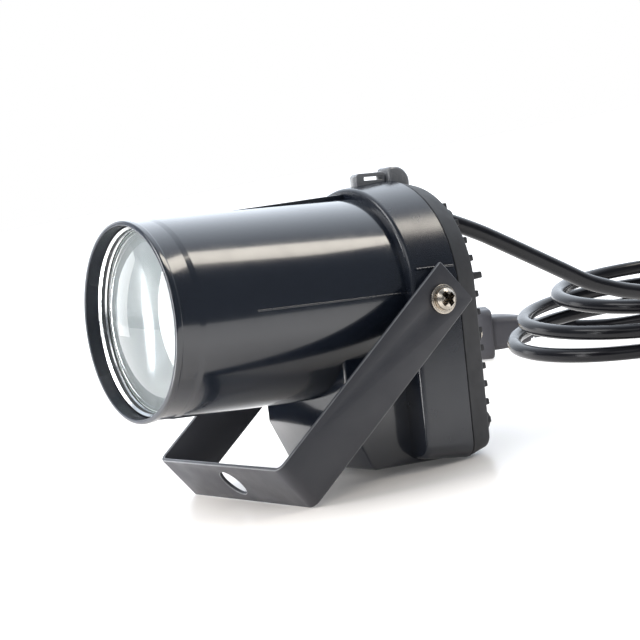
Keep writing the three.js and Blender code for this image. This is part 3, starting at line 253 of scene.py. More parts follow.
plug_length = 0.0415
plug_tilt = radians(5)
plug_turn = Matrix.Rotation(coil_heading - pi / 2, 4, "Z") @ Matrix.Rotation(-plug_tilt, 4, "X")
plug_place = Matrix.Translation((-0.1813, 0.2072, 0.0131364)) @ plug_turn
plug_end = plug_place @ Vector((0, plug_length, 0))
plug_out = (plug_place.to_3x3() @ Vector((0, 1, 0))).normalized()
exit_point = lamp_place @ (boot_end + boot_out * butt_gap)
exit_out = (lamp_place.to_3x3() @ boot_out).normalized()
coil_line = [coil_point(i / coil_steps) for i in range(int(coil_turns * coil_steps) + 1)]
lead_points = [exit_point, exit_point + exit_out * 2 * lead_radius, *map(Vector, run_points)]
lead_points += coil_line
lead_points += [Vector(p) for p in reversed(tail_points)]
lead_points += [plug_end + plug_out * (butt_gap + 2 * lead_radius), plug_end + plug_out * butt_gap]
lead_line = open_curve(lead_points, lead_step)
mains_lead = sheathed("mains_lead", lead_line, lead_radius, lead_sides, pvc)
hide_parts("cord", "cord_coil", "cord_tail")
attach(mains_lead, "lamp")

# Shell. One injection moulding in glossy black ABS: the barrel with its stepped collar and top rib, the
# arched satin housing, the box under the barrel, the pads behind the yoke and a safety eye whose pale
# grey is a painted reflection.
# The two mould halves leave a fine line along each side.
def placed(positions, frame_matrix):
    return [frame_matrix @ Vector(p) for p in positions]


def revolved(name, profile, steps, material, place=lamp_place, axis="Y", angle=35):
    """A closed ring, or a solid where the profile ends on the axis, turned about an axis."""
    count = len(profile)
    positions, faces = [], []
    closed = abs(profile[0][0]) > 1e-9 or abs(profile[-1][0]) > 1e-9
    for s in range(steps):
        turn = 2 * pi * s / steps
        for radius, along in profile:
            a, b = radius * cos(turn), radius * sin(turn)
            positions.append({"Y": (b, along, a), "X": (along, a, b), "Z": (a, b, along)}[axis])
    for s in range(steps):
        for i in range(count if closed else count - 1):
            a, b = s * count + i, s * count + (i + 1) % count
            c, d = (s + 1) % steps * count + (i + 1) % count, (s + 1) % steps * count + i
            faces.append((a, b, c, d))
    return tidied(name, placed(positions, place), faces, material, angle)


def tidied(name, positions, faces, material, angle=35):
    """A closed piece with its doubles merged and its faces turned outwards."""
    piece = skin(name, positions, faces, material, angle)
    shape = bmesh.new()
    shape.from_mesh(piece.data)
    bmesh.ops.remove_doubles(shape, verts=shape.verts, dist=1e-7)
    bmesh.ops.dissolve_degenerate(shape, edges=shape.edges, dist=1e-8)
    bmesh.ops.recalc_face_normals(shape, faces=shape.faces)
    shape.to_mesh(piece.data)
    shape.free()
    piece.data.shade_smooth()
    piece.data.set_sharp_from_angle(angle=radians(angle))
    return piece


def rounded_profile(corners, radius, steps=5):
    """A closed outline with each corner rounded by the radius, or by its own third number."""
    line = []
    for i, corner in enumerate(corners):
        own = corner[2] if len(corner) > 2 else radius
        here = Vector(corner[:2])
        before = Vector(corners[i - 1][:2]) - here
        after = Vector(corners[(i + 1) % len(corners)][:2]) - here
        if own <= 0:
            line.append(tuple(here))
            continue
        half = before.angle(after) / 2
        reach = min(own / tan(half), before.length * 0.45, after.length * 0.45)
        start, end = here + before.normalized() * reach, here + after.normalized() * reach
        for s in range(steps + 1):
            t = s / steps
            line.append(tuple(start * (1 - t) ** 2 + here * 2 * t * (1 - t) + end * t ** 2))
    return line


def finish_of(name, dark, light, patch, gloss, grains=(), metallic=0.0, **sockets):
    """A finish: two shades in patches, a roughness or its two ends and size, and any grains."""
    material, tree, surface, where = shader(name, dark, gloss[0], metallic)
    filled(surface, {socket.replace("_", " "): value for socket, value in sockets.items()})
    mottled(tree, surface, where, dark, light, patch)
    if len(gloss) > 1:
        uneven(tree, surface, where, *gloss)
    under = None
    for size, depth, strength in grains:
        under = grained(tree, surface, where, size, depth, strength, under)
    return material


def laid_over(tree, share, colour):
    """A second colour over a finish's own, as much of it as the share says."""
    own = tree.nodes["Principled BSDF"].inputs["Base Color"]
    mix = colour_mix(tree, colour)
    tree.links.new(share, mix.inputs["Factor"])
    tree.links.new(own.links[0].from_socket, mix.inputs["A"])
    tree.links.new(mix.outputs["Result"], own)


def moulding_gloss(name, dark, light, low, high, coat=0.7, coat_low=0.08, shine=0.5):
    """Glossy black ABS: a slight orange peel, wiped streaks in the gloss and a few dust specks."""
    material = finish_of(
        name, dark, light, 0.02, (low, high, 0.008), ((0.0022, 0.00002, 0.5), (0.0004, 0.000004, 0.5)),
        IOR=1.6, Coat_Weight=coat, Coat_Roughness=coat_low, Specular_IOR_Level=shine,
    )
    tree = material.node_tree
    specks = filled(tree.nodes.new("ShaderNodeTexVoronoi"), {"Scale": 420})
    near = filled(tree.nodes.new("ShaderNodeMapRange"), {"From Min": 0.05, "From Max": 0.0})
    own_place = tree.nodes["Texture Coordinate"]
    wired(tree, (own_place, "Object", specks, "Vector"), (specks, "Distance", near, "Value"))
    laid_over(tree, near.outputs["Result"], (0.16, 0.16, 0.17))
    return material


gloss_black = moulding_gloss("glossy black abs", (0.011, 0.016, 0.027), (0.016, 0.022, 0.036), 0.13, 0.2)
semi_gloss_black = moulding_gloss(
    "semi gloss black abs", (0.012, 0.016, 0.026), (0.018, 0.023, 0.036), 0.22, 0.28, 0.4, 0.19,
)
# The safety eye, the cover's lug and its cheek are black ABS in a pale grey: a painted reflection of the
# bright room.
painted_reflection_black = moulding_gloss("black abs with painted reflection", (0.17, 0.175, 0.19), (0.38, 0.385, 0.4), 0.18, 0.36, 0.8)
# The bore's inside is darker and less glossy than the shell: its darker colour is a painted shade inside the
# bore.
painted_shade_bore_black = moulding_gloss(
    "bore abs with painted shade", (0.007, 0.009, 0.014), (0.011, 0.013, 0.019), 0.16, 0.24, 0.0, shine=0.3,
)
lip_radius, lip_length, bore_radius = 0.036, 0.0024, 0.0343
collar_radius, collar_length, collar_step = 0.03542, 0.0105, 0.0011
tube_radius, tube_end_radius, tube_wall, tube_bore = 0.03565, 0.03655, 0.0022, 0.0338
barrel_length, seam = 0.094, 0.113
barrel_end = barrel_length + 0.0016
stop_radius, stop_front, stop_back = bore_radius - 0.0035, 0.013, 0.0148
barrel_profile = rounded_profile([
    (lip_radius, 0, 0.0007), (lip_radius, lip_length, 0.0006), (collar_radius, lip_length + 0.0002, 0.0003),
    (collar_radius, collar_length - collar_step, collar_step),
    (tube_radius, collar_length + collar_step, collar_step),
    (tube_end_radius, barrel_end, 0), (tube_end_radius - tube_wall, barrel_end, 0),
    (tube_bore, stop_back + 0.0002, 0), (tube_bore, stop_back, 0), (stop_radius, stop_back, 0.0003),
    (stop_radius, stop_front, 0.0003), (bore_radius, stop_front, 0), (bore_radius, 0, 0.0003),
], 0.0003)
barrel = revolved("barrel", barrel_profile, 192, gloss_black, angle=30)


def second_finish(piece, finish, chosen):
    """The finish on those faces whose distance from the lamp's axis and place along it are chosen."""
    piece.data.materials.append(finish)
    lamp_back = lamp_place.inverted()
    for polygon in piece.data.polygons:
        spot = lamp_back @ polygon.center
        if chosen((spot.x ** 2 + spot.z ** 2) ** 0.5, spot.y):
            polygon.material_index = len(piece.data.materials) - 1


second_finish(barrel, painted_shade_bore_black, lambda radius, along: (
    radius < bore_radius + 0.0001 and along < stop_front + 0.0005
))

housing_radius, housing_drop, housing_corner, draft = 0.0423, 0.0625, 0.006, 0.0018


def arch(inset, y, arch_steps=96, corner_steps=10, keep=0.0052):
    """The housing's outline: a half round on straight sides with rounded lower corners."""
    side = housing_radius - inset
    low = housing_drop - min(inset, keep)
    corner = housing_corner - inset / 2
    ring = [(side * cos(pi * i / arch_steps), y, side * sin(pi * i / arch_steps))
            for i in range(arch_steps + 1)]
    for hand, start in ((-1, pi), (1, 1.5 * pi)):
        for i in range(corner_steps + 1):
            turn = start + pi / 2 * i / corner_steps
            ring.append((hand * (side - corner) + corner * cos(turn), y, corner - low + corner * sin(turn)))
    return ring


def lofted(name, rings, material, angle=35):
    """Rings of equal length joined into one skin and capped at its ends."""
    count = len(rings[0])
    last = (len(rings) - 1) * count
    positions = [p for ring in rings for p in ring]
    faces = [
        (s + i, s + count + i, s + count + (i + 1) % count, s + (i + 1) % count)
        for s in range(0, last, count) for i in range(count)
    ]
    faces += [tuple(range(count)), tuple(range(last, last + count))]
    return tidied(name, placed(positions, lamp_place), faces, material, angle)


edge, edge_steps, wall = 0.0018, 8, 0.0022
housing_rings = []
for i in range(edge_steps + 1):
    turn = pi / 2 * i / edge_steps
    housing_rings.append(arch(draft + edge * (1 - sin(turn)), barrel_length + edge * (1 - cos(turn))))
housing_rings += [arch(0.0002, seam - 0.0002), arch(0.0004, seam), arch(wall, seam)]
housing_rings.append(arch(draft + wall, barrel_length + wall))
housing = lofted("housing", housing_rings, semi_gloss_black, angle=40)


def prism(name, outline, x0, x1, material, slot, round_off, place=lamp_place, segments=3, hole=None):
    """An outline of y and z, stretched along X, pierced by a hole and with its edges rounded."""
    count = len(outline)
    positions = [(x, y, z) for x in (x0, x1) for y, z in outline]
    faces = [tuple(range(count)), tuple(reversed(range(count, 2 * count)))]
    faces += [(i, i + count, (i + 1) % count + count, (i + 1) % count) for i in range(count)]
    piece = tidied(name, placed(positions, place), faces, material)
    if hole is not None:
        past = 0.002
        pierced(piece, prism("cutter", hole, x0 - past, x1 + past, material, slot, 0, place))
    if round_off:
        rounded_edges(piece, round_off, segments)
    return piece


def applied(piece):
    """The piece's modifiers are made part of its mesh, and removed."""
    view = bpy.context.evaluated_depsgraph_get()
    made = bpy.data.meshes.new_from_object(piece.evaluated_get(view), depsgraph=view)
    piece.modifiers.clear()
    piece.data = made


def pierced(piece, *cutters):
    """The cutters' shapes are taken out of the piece, and the cutters are removed."""
    for cutter in cutters:
        cut = piece.modifiers.new("cut", "BOOLEAN")
        cut.object = cutter
        cut.solver = "EXACT"
    applied(piece)
    for cutter in cutters:
        bpy.data.objects.remove(cutter)
    piece.data.set_sharp_from_angle(angle=radians(35))


def rounded_edges(piece, radius, segments=3, angle=35, finish=None):
    """Edges past the angle are rounded, in a finish of their own where one is given."""
    bevel = piece.modifiers.new("round", "BEVEL")
    bevel.width = radius
    bevel.segments = segments
    bevel.limit_method = "ANGLE"
    bevel.angle_limit = radians(angle)
    if finish:
        piece.data.materials.append(finish)
        bevel.material = 1
        bevel.use_clamp_overlap = False
    applied(piece)
    piece.data.shade_smooth()
    piece.data.set_sharp_from_angle(angle=radians(38))


chin_front, chin_knee, chin_run, chin_side = 0.069, 0.0447, 0.0086, 0.0293
chin_top, chin_end, overrun = -0.01, seam - 0.001, 0.005
chin_outline = [
    (chin_front, chin_top), (chin_end, chin_top), (chin_end, -housing_drop),
    (chin_front + chin_run, -housing_drop), (chin_front, -chin_knee),
]
chin = prism("chin_box", chin_outline, -chin_side, chin_side, gloss_black, "black_gloss_plastic", 0.0012)


def barrel_cutter():
    """A plug that clears the barrel's inside, and stops halfway through its wall."""
    radius, before, past = tube_end_radius - tube_wall / 2, -0.01, 0.13
    outline = [(0, before), (radius, before), (radius, past), (0, past)]
    return revolved("cutter", outline, 128, gloss_black)


def room_cutter():
    """The room for the driver, one wall inside the chin box."""
    inside = [
        (chin_front + wall, -overrun), (seam + overrun, -overrun), (seam + overrun, wall - housing_drop),
        (chin_front + chin_run + wall / 2, wall - housing_drop), (chin_front + wall, wall / 2 - chin_knee),
    ]
    return prism("cutter", inside, wall - chin_side, chin_side - wall, gloss_black, "black_gloss_plastic", 0)


pierced(chin, barrel_cutter(), room_cutter())
pierced(housing, barrel_cutter(), room_cutter())
pivot = Vector((0, 0.1035, -0.0034))
pad_root, pad_face, pad_radius = 0.0403, 0.043, 0.0075
pivot_pad_profile = rounded_profile([
    (0, pad_root, 0), (pad_radius, pad_root, 0), (pad_radius, pad_face, 0.0003), (0, pad_face, 0),
], 0.0003)
pivot_places = {
    side: lamp_place @ Matrix.Translation(pivot) @ Matrix.Rotation(turn, 4, "Z")
    for side, turn in (("right", 0), ("left", pi))
}
pads = [
    revolved(f"pivot_pad_{side}", pivot_pad_profile, 64, gloss_black, place, "X")
    for side, place in pivot_places.items()
]

eye_front, eye_back, eye_half = seam - 0.0134, seam - 0.0003, 0.0023
eye_low, eye_top, eye_bar = 0.0395, housing_radius + 0.0032, 0.0014
eye_outline = [
    (eye_front, eye_low), (eye_back, eye_low), (eye_back, eye_top - 0.0008), (eye_back - 0.0008, eye_top),
    (eye_front + 0.0011, eye_top), (eye_front, eye_top - 0.0011),
]
slot_front, slot_back, slot_low = eye_front + 0.0036, seam - eye_bar, housing_radius + 0.0004
eye_slot = [
    (slot_front, slot_low), (slot_back, slot_low), (slot_back, eye_top - eye_bar),
    (slot_front, eye_top - eye_bar),
]
safety_eye = prism(
    "safety_eye", eye_outline, -eye_half, eye_half, painted_reflection_black, "black_gloss_plastic", 0.0006,
    hole=eye_slot,
)

top_rib_start, top_rib_end, top_rib_half = 0.043, barrel_length + 0.0004, 0.0008
top_rib_root = tube_radius - 0.001
top_rib = prism("top_rib", [
    (top_rib_start, top_rib_root), (top_rib_end, top_rib_root), (top_rib_end, tube_end_radius + 0.0019),
    (top_rib_start, tube_radius + 0.0003),
], -top_rib_half, top_rib_half, gloss_black, "black_gloss_plastic", 0.0003)

flash_outline = [(-0.00042, -0.0001), (0.00042, -0.0001), (0.0002, 0.00016), (-0.0002, 0.00016)]
flash_runs = {
    "barrel": (0.032, barrel_length, 0.0, 0.03584, tube_end_radius - 0.00002),
    "housing": (0.0965, seam - 0.001, 0.0082, 0.0405, housing_radius - 0.0005),
}
mould_lines = []
for hand, side in ((1, "right"), (-1, "left")):
    for part, (y0, y1, z, x0, x1) in flash_runs.items():
        rings = []
        for share in (0, 0.5, 1):
            y, x = y0 + (y1 - y0) * share, x0 + (x1 - x0) * share
            rings.append([(hand * (x + out), y, z + across) for across, out in flash_outline])
        mould_lines.append(lofted(
            f"mould_line_{part}_{side}", rings, semi_gloss_black, angle=60,
        ))
shell_pieces = [barrel, housing, chin, *pads, safety_eye, top_rib, *mould_lines]
for piece in shell_pieces:
    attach(piece, "lamp")
    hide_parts("shell")

# Lens stack. A black ring with two bright-cut edges screws in behind the lip and holds a pressed
# glass lens, domed in front and frosted behind, with a ground edge, down on its rubber gasket.
polished_black = moulding_gloss("polished black ring", (0.01, 0.011, 0.014), (0.018, 0.019, 0.024), 0.05, 0.1)
lens_radius, lens_face, lens_edge, lens_rise = 0.0332, 0.0086, 0.0026, 0.0082
dome = lens_radius - 0.0008
stack_radius, ring_face, ring_back = 0.034, 0.005, 0.0083
ring_profile = [
    (stack_radius, ring_face), (stack_radius, ring_back), (dome + 0.0001, ring_back),
    (dome + 0.0001, ring_back - 0.0006), (dome + 0.0005, ring_back - 0.0011),
    (dome + 0.0006, ring_face + 0.0007), (stack_radius - 0.0002, ring_face),
]
retaining_ring = revolved("retaining_ring_bevelled", ring_profile, 192, polished_black)
bright_cut = finish_of(
    "bright-cut edge", (0.78, 0.8, 0.82), (0.92, 0.93, 0.94), 0.002, (0.14, 0.28, 0.001), metallic=1.0,
)
second_finish(retaining_ring, bright_cut, lambda radius, along: (
    ring_face + 0.0001 < along < ring_face + 0.0006 and radius < stack_radius
    or ring_back - 0.001 < along < ring_back - 0.0007 and radius < dome + 0.0005
))
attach(retaining_ring, "lamp")
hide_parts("retaining_ring")

sphere = (dome ** 2 + lens_rise ** 2) / (2 * lens_rise)
reach = acos(1 - lens_rise / sphere)
lens_back, lens_steps, arris = lens_face + lens_edge, 40, 0.0003
lens_profile = [(0, lens_back), (lens_radius - arris, lens_back)]
lens_profile += [(lens_radius, lens_back - arris), (lens_radius, lens_face)]
lens_profile += [
    (sphere * sin(reach * i / lens_steps), lens_face - lens_rise + sphere * (1 - cos(reach * i / lens_steps)))
    for i in range(lens_steps, -1, -1)
]
glass = finish_of(
    "pressed lens glass", (0.88, 0.95, 0.96), (0.94, 0.98, 0.99), 0.03, (0.008, 0.03, 0.02),
    IOR=1.52, Transmission_Weight=0.9,
)
domed_lens = revolved("domed_lens", lens_profile, 160, glass)
ground = finish_of(
    "ground glass edge", (0.82, 0.93, 0.9), (0.92, 0.98, 0.97), 0.002, (0.6,), ((0.0003, 0.00002, 1.0),),
    IOR=1.52,
)
second_finish(domed_lens, ground, lambda radius, along: radius > dome + 0.0001)
frosted = finish_of(
    "frosted glass back", (0.82, 0.88, 0.9), (0.94, 0.97, 0.98), 0.008, (0.05,),
    IOR=1.52, Transmission_Weight=0.68,
)
second_finish(domed_lens, frosted, lambda radius, along: along > lens_back - 0.0001)
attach(domed_lens, "lamp")
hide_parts("lens")


def dressed(material, slot, *names):
    """The material on the CAD nodes of these names, whose shapes stay as they are."""
    for name in names:
        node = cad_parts[name]
        for held in node.material_slots:
            held.material = material


rubber = finish_of(
    "gasket rubber", (0.014, 0.014, 0.015), (0.026, 0.026, 0.028), 0.004, (0.66, 0.85, 0.003),
    ((0.0005, 0.00003, 1.0),),
)
dressed(rubber, "gasket_rubber", "lens_gasket")

# Light engine. A die-cast aluminium sink on two posts in the barrel, with a white aluminium-cored
# board, one LED with a phosphor dome, and a clear acrylic optic in a black holder.
cast = finish_of(
    "cast aluminium", (0.42, 0.43, 0.45), (0.58, 0.59, 0.61), 0.006, (0.36, 0.56, 0.003),
    ((0.0007, 0.00005, 1.0),), metallic=1.0,
)
dressed(cast, "cast_sink", "heat_sink")
zinc = finish_of(
    "zinc plate", (0.52, 0.54, 0.56), (0.68, 0.7, 0.7), 0.0015, (0.24, 0.4, 0.001),
    ((0.0003, 0.00001, 1.0),), metallic=1.0,
)
dressed(
    zinc, "zinc_plate", "sink_screw_1", "sink_screw_2", "board_screw_1", "board_screw_2",
    "driver_screw_1", "driver_screw_2", "pivot_nut_right", "pivot_nut_left",
)
white_lacquer = finish_of(
    "white lacquer", (0.72, 0.72, 0.7), (0.82, 0.82, 0.8), 0.003, (0.32, 0.48, 0.002),
)
dressed(white_lacquer, "white_board", "led_board")
yellow = finish_of("phosphor dome", (0.8, 0.64, 0.08), (0.9, 0.8, 0.2), 0.0008, (0.2, 0.4, 0.0005))
dressed(yellow, "phosphor", "led_chip")

sink_face, engine_gap, star_thickness, chip_height = 0.084, 0.0003, 0.0016, 0.0009
star_face = sink_face - engine_gap - star_thickness
chip_face = star_face - engine_gap - chip_height
optic_back, optic_length, optic_radius = chip_face - engine_gap, 0.011, 0.01
optic_front = optic_back - optic_length
acrylic = finish_of(
    "clear acrylic", (0.95, 0.97, 0.98), (0.95, 0.97, 0.98), 0.01, (0.01, 0.05, 0.003),
    IOR=1.49, Transmission_Weight=0.95,
)
bell_rim, bell_neck, bell_steps = 0.0012, 0.0046, 24
chip_well, well_depth = 0.0032, 0.003
bell_profile = [
    (0, optic_front), (optic_radius - 0.0002, optic_front), (optic_radius, optic_front + 0.0002),
    (optic_radius, optic_front + bell_rim),
]
bell_profile += [
    (bell_neck + 0.005 * sqrt(1 - i / bell_steps), optic_front + bell_rim + 0.0098 * i / bell_steps)
    for i in range(bell_steps + 1)
]
bell_profile += [
    (chip_well, optic_back), (chip_well, optic_back - well_depth + 0.0008),
    (chip_well - 0.0008, optic_back - well_depth), (0, optic_back - well_depth),
]
optic_bell = revolved("optic_bell", bell_profile, 72, acrylic)
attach(optic_bell, "lamp")
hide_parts("optic")


def moulding_matt(name, dark, light, low, high, grain, depth):
    """Spark-eroded or soft plastic: an even fine grain that takes the shine off."""
    grains = ((grain * 3, depth * 0.6, 0.6), (grain, depth, 1.0))
    return finish_of(name, dark, light, 0.01, (low, high, 0.004), grains)


matt_dark = moulding_matt(
    "matt dark moulding", (0.03, 0.0305, 0.034), (0.042, 0.0425, 0.047), 0.5, 0.62, 0.0004, 0.00003,
)
holder_inner, holder_outer = optic_radius + engine_gap, 0.0116
holder_lip, holder_front = 0.0092, optic_front - 0.0014
holder_profile = rounded_profile([
    (holder_lip, holder_front), (holder_outer, holder_front), (holder_outer, star_face - engine_gap),
    (holder_inner, star_face - engine_gap), (holder_inner, optic_front - engine_gap, 0.0001),
    (holder_lip, optic_front - engine_gap, 0.0001),
], 0.0003)
optic_collar = revolved("optic_collar", holder_profile, 72, matt_dark)
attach(optic_collar, "lamp")
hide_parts("optic_holder")

# Driver. A green board on two stands in the box under the barrel carries a lacquered transformer,
# a sleeved capacitor and a glass fuse, with pairs of stranded leads from the cord and to the LED.
green = finish_of("green lacquer", (0.015, 0.1, 0.035), (0.035, 0.17, 0.07), 0.002, (0.25, 0.45, 0.002))
dressed(green, "green_board", "driver_board")
varnish = finish_of(
    "core varnish", (0.012, 0.012, 0.012), (0.05, 0.04, 0.03), 0.002, (0.28, 0.5, 0.001),
    ((0.0006, 0.00004, 1.0),),
)
dressed(varnish, "dark_core", "transformer")
sleeve = finish_of(
    "capacitor sleeve", (0.01, 0.012, 0.025), (0.02, 0.022, 0.045), 0.002, (0.18, 0.32, 0.001),
)
dressed(sleeve, "capacitor_sleeve", "capacitor")
tube_glass = finish_of(
    "fuse glass", (0.78, 0.82, 0.8), (0.9, 0.92, 0.9), 0.002, (0.03, 0.1, 0.002), Transmission_Weight=0.6,
)
dressed(tube_glass, "fuse_glass", "fuse")
white_pvc = moulding_matt("white lead pvc", (0.7, 0.7, 0.68), (0.78, 0.78, 0.76), 0.4, 0.5, 0.0005, 0.00001)
dark_pvc = moulding_matt(
    "dark soft pvc", (0.035, 0.035, 0.038), (0.052, 0.052, 0.056), 0.36, 0.5, 0.0006, 0.00002,
)
dressed(dark_pvc, "cord_pvc", "mains_lead_1", "chip_lead_1")
dressed(white_pvc, "white_lead", "mains_lead_2", "chip_lead_2")

# Rear cover. A shallow matt tray, spark-eroded outside, with bars moulded across its back to shed
# heat, slots between them, four screw pads, and a lug on top that shuts on the safety eye. The lug's
# pale grey is a painted reflection.
cover_front, cover_depth, cover_wall = 0.1133, 0.0093, 0.0022
cover_step, cover_draft, cover_edge, cover_edge_steps = 0.0003, 0.0024, 0.001, 7
cover_back = cover_front + cover_depth
rib_rise, tall_rise = 0.0022, 0.0046
rib_top = cover_back + rib_rise


def cover_inset(y):
    return cover_step + cover_draft * (y - cover_front) / cover_depth


cover_rings = [arch(cover_step + 0.0002, cover_front), arch(cover_step, cover_front + 0.0002)]
cover_rings.append(arch(cover_inset(cover_back - 0.005), cover_back - 0.005))
for i in range(cover_edge_steps + 1):
    turn = pi / 2 * i / cover_edge_steps
    y = cover_back - cover_edge * (1 - sin(turn))
    cover_rings.append(arch(cover_inset(y) + cover_edge * (1 - cos(turn)), y))
cover_tray = lofted("cover_tray", cover_rings, matt_dark, angle=40)
tray_room = lofted("tray_room", [
    arch(cover_step + cover_wall, cover_front - 0.001),
    arch(cover_inset(cover_back - cover_wall) + cover_wall, cover_back - cover_wall),
], matt_dark)
rib_pitch, rib_width, tall_level = 0.00665, 0.0024, 0.0033
slot_near, slot_far, slot_width, slot_overrun = 0.006, 0.025, 0.0024, 0.001


def slot_outline(x0, x1, level, width, steps=8):
    """A slot's outline in x and z, with half-round ends."""
    end = width / 2
    line = [(x1 - end + end * cos(t), level + end * sin(t))
            for t in [-pi / 2 + pi * i / steps for i in range(steps + 1)]]
    return line + [(x0 + end + end * cos(t), level + end * sin(t))
                   for t in [pi / 2 + pi * i / steps for i in range(steps + 1)]]


slot_positions, slot_faces = [], []
for index in range(-7, 2):
    level = tall_level + (index + 0.5) * rib_pitch
    for x0, x1 in ((slot_near, slot_far), (-slot_far, -slot_near)):
        outline = slot_outline(x0, x1, level, slot_width)
        first, count = len(slot_positions), len(outline)
        for y in (cover_back - cover_wall - slot_overrun, cover_back + slot_overrun):
            slot_positions += [(x, y, z) for x, z in outline]
        slot_faces.append(tuple(range(first, first + count)))
        slot_faces.append(tuple(reversed(range(first + count, first + 2 * count))))
        slot_faces += [
            (first + i, first + i + count, first + (i + 1) % count + count, first + (i + 1) % count)
            for i in range(count)
        ]
vent_slots = tidied(
    "vent_slots", placed(slot_positions, lamp_place), slot_faces, matt_dark,
)
relief_hole, bore_from, bore_to = 0.0051, 0.11, 0.13
relief_place = lamp_place @ Matrix.Translation((0, 0, relief_level))
relief_bore = revolved(
    "relief_bore", [(0, bore_from), (relief_hole, bore_from), (relief_hole, bore_to), (0, bore_to)], 48,
    matt_dark, relief_place,
)
pierced(cover_tray, tray_room, vent_slots, relief_bore)


def tree_of(name, **sizes):
    """An empty geometry tree with a mesh in, a mesh out and named sizes."""
    tree = bpy.data.node_groups.new(name, "GeometryNodeTree")
    tree.interface.new_socket("Mesh", in_out="INPUT", socket_type="NodeSocketGeometry")
    tree.interface.new_socket("Mesh", in_out="OUTPUT", socket_type="NodeSocketGeometry")
    for size, kind in sizes.items():
        tree.interface.new_socket(size, in_out="INPUT", socket_type=kind)
    return tree, tree.nodes.new("NodeGroupInput"), tree.nodes.new("NodeGroupOutput")


def grown(name, mesh, tree, slot, **sizes):
    """The piece that a geometry tree grows from a mesh, as a plain mesh."""
    piece = bpy.data.objects.new(name, mesh)
    scene.collection.objects.link(piece)
    growth = piece.modifiers.new("growth", "NODES")
    growth.node_group = tree
    for item in tree.interface.items_tree:
        if item.in_out == "INPUT" and item.name in sizes:
            growth[item.identifier] = sizes[item.name]
    applied(piece)
    return piece


rib_tree, rib_in, rib_out = tree_of(
    "cover ribs", Width="NodeSocketFloat", Height="NodeSocketFloat", Round="NodeSocketFloat",
    Finish="NodeSocketMaterial",
)
rib_lines = rib_tree.nodes.new("GeometryNodeMeshToCurve")
rib_up = rib_tree.nodes.new("GeometryNodeSetCurveNormal")
rib_up.mode = "Z_UP"
rib_section = rib_tree.nodes.new("GeometryNodeCurvePrimitiveQuadrilateral")
rib_round = rib_tree.nodes.new("GeometryNodeFilletCurve")
rib_round.mode = "POLY"
filled(rib_round, {"Count": 4})
rib_skin = filled(rib_tree.nodes.new("GeometryNodeCurveToMesh"), {"Fill Caps": True})
rib_real = rib_tree.nodes.new("GeometryNodeRealizeInstances")
rib_finish = rib_tree.nodes.new("GeometryNodeSetMaterial")
wired(
    rib_tree, (rib_in, "Mesh", rib_lines, "Mesh"), (rib_lines, "Curve", rib_up, "Curve"),
    (rib_up, "Curve", rib_skin, "Curve"), (rib_in, "Width", rib_section, "Height"),
    (rib_in, "Height", rib_section, "Width"), (rib_section, "Curve", rib_round, "Curve"),
    (rib_in, "Round", rib_round, "Radius"), (rib_round, "Curve", rib_skin, "Profile Curve"),
    (rib_skin, "Mesh", rib_real, "Geometry"), (rib_real, "Geometry", rib_finish, "Geometry"),
    (rib_in, "Finish", rib_finish, "Material"), (rib_finish, "Geometry", rib_out, "Mesh"),
)
rib_side = housing_radius - cover_step - cover_draft - cover_edge - 0.0005
lowest_rib, ribs_past = -9, 5


def rib_row(name, indices, rise):
    """A row of bars across the back, sunk half the wall deep, of one height."""
    points, edges = [], []
    depth = cover_wall / 2
    for index in indices:
        level = tall_level + index * rib_pitch
        tuck = housing_corner - rib_pitch / 2 if index == lowest_rib else 0
        half = sqrt(rib_side ** 2 - level ** 2) if level > 0 else rib_side - tuck
        y = cover_back + (rise - depth) / 2
        edges.append((len(points), len(points) + 1))
        points += placed([(-half, y, level), (half, y, level)], lamp_place)
    mesh = bpy.data.meshes.new(name)
    mesh.from_pydata([tuple(p) for p in points], edges, [])
    piece = grown(
        name, mesh, rib_tree, "dark_matt_plastic", Width=rib_width, Height=rise + depth, Round=0.00045,
        Finish=matt_dark,
    )
    rounded_edges(piece, 0.0003, 2, 60)
    return piece


cover_ribs = rib_row("cover_ribs", [i for i in range(lowest_rib, ribs_past) if i], rib_rise)
tall_rib = rib_row("tall_rib", [0], tall_rise)
screw_side, screw_levels, pad_hole = 0.033, (-0.018, -0.05), 0.0016
screw_places = [(hand * screw_side, level) for hand in (-1, 1) for level in screw_levels]
cover_pad_radius, pad_foot = 0.0045, cover_front + 0.0002
cover_pad_profile = rounded_profile([
    (pad_hole, pad_foot, 0), (cover_pad_radius, pad_foot, 0), (cover_pad_radius, rib_top, 0.0005),
    (pad_hole, rib_top, 0.0002),
], 0.0003)
cover_pads = [
    revolved(
        f"cover_pad_{i + 1}", cover_pad_profile, 48, matt_dark,
        lamp_place @ Matrix.Translation((x, 0, z)),
    )
    for i, (x, z) in enumerate(screw_places)
]
exit_radius, exit_foot = 0.008, cover_back - 0.001
exit_profile = rounded_profile([
    (relief_hole, exit_foot, 0), (exit_radius, exit_foot, 0), (exit_radius, rib_top, 0.0006),
    (relief_hole, rib_top, 0.0003),
], 0.0003)
exit_collar = revolved("exit_collar", exit_profile, 64, matt_dark, relief_place)

lug_top, lug_half = housing_radius + 0.0049, 0.0045
lug_low = housing_radius - cover_step - cover_draft - 0.0011
lug_crown, crown_steps, lug_brow, brow_steps = 0.0062, 10, 0.0014, 5
lug_outline = [(cover_front, lug_low), (cover_back, lug_low)]
lug_outline += [
    (cover_back - lug_crown + lug_crown * cos(turn), lug_top - lug_crown + lug_crown * sin(turn))
    for turn in [pi / 2 * i / crown_steps for i in range(crown_steps + 1)]
]
lug_outline += [
    (cover_front + lug_brow - lug_brow * sin(turn), lug_top - lug_brow + lug_brow * cos(turn))
    for turn in [pi / 2 * i / brow_steps for i in range(brow_steps + 1)]
]
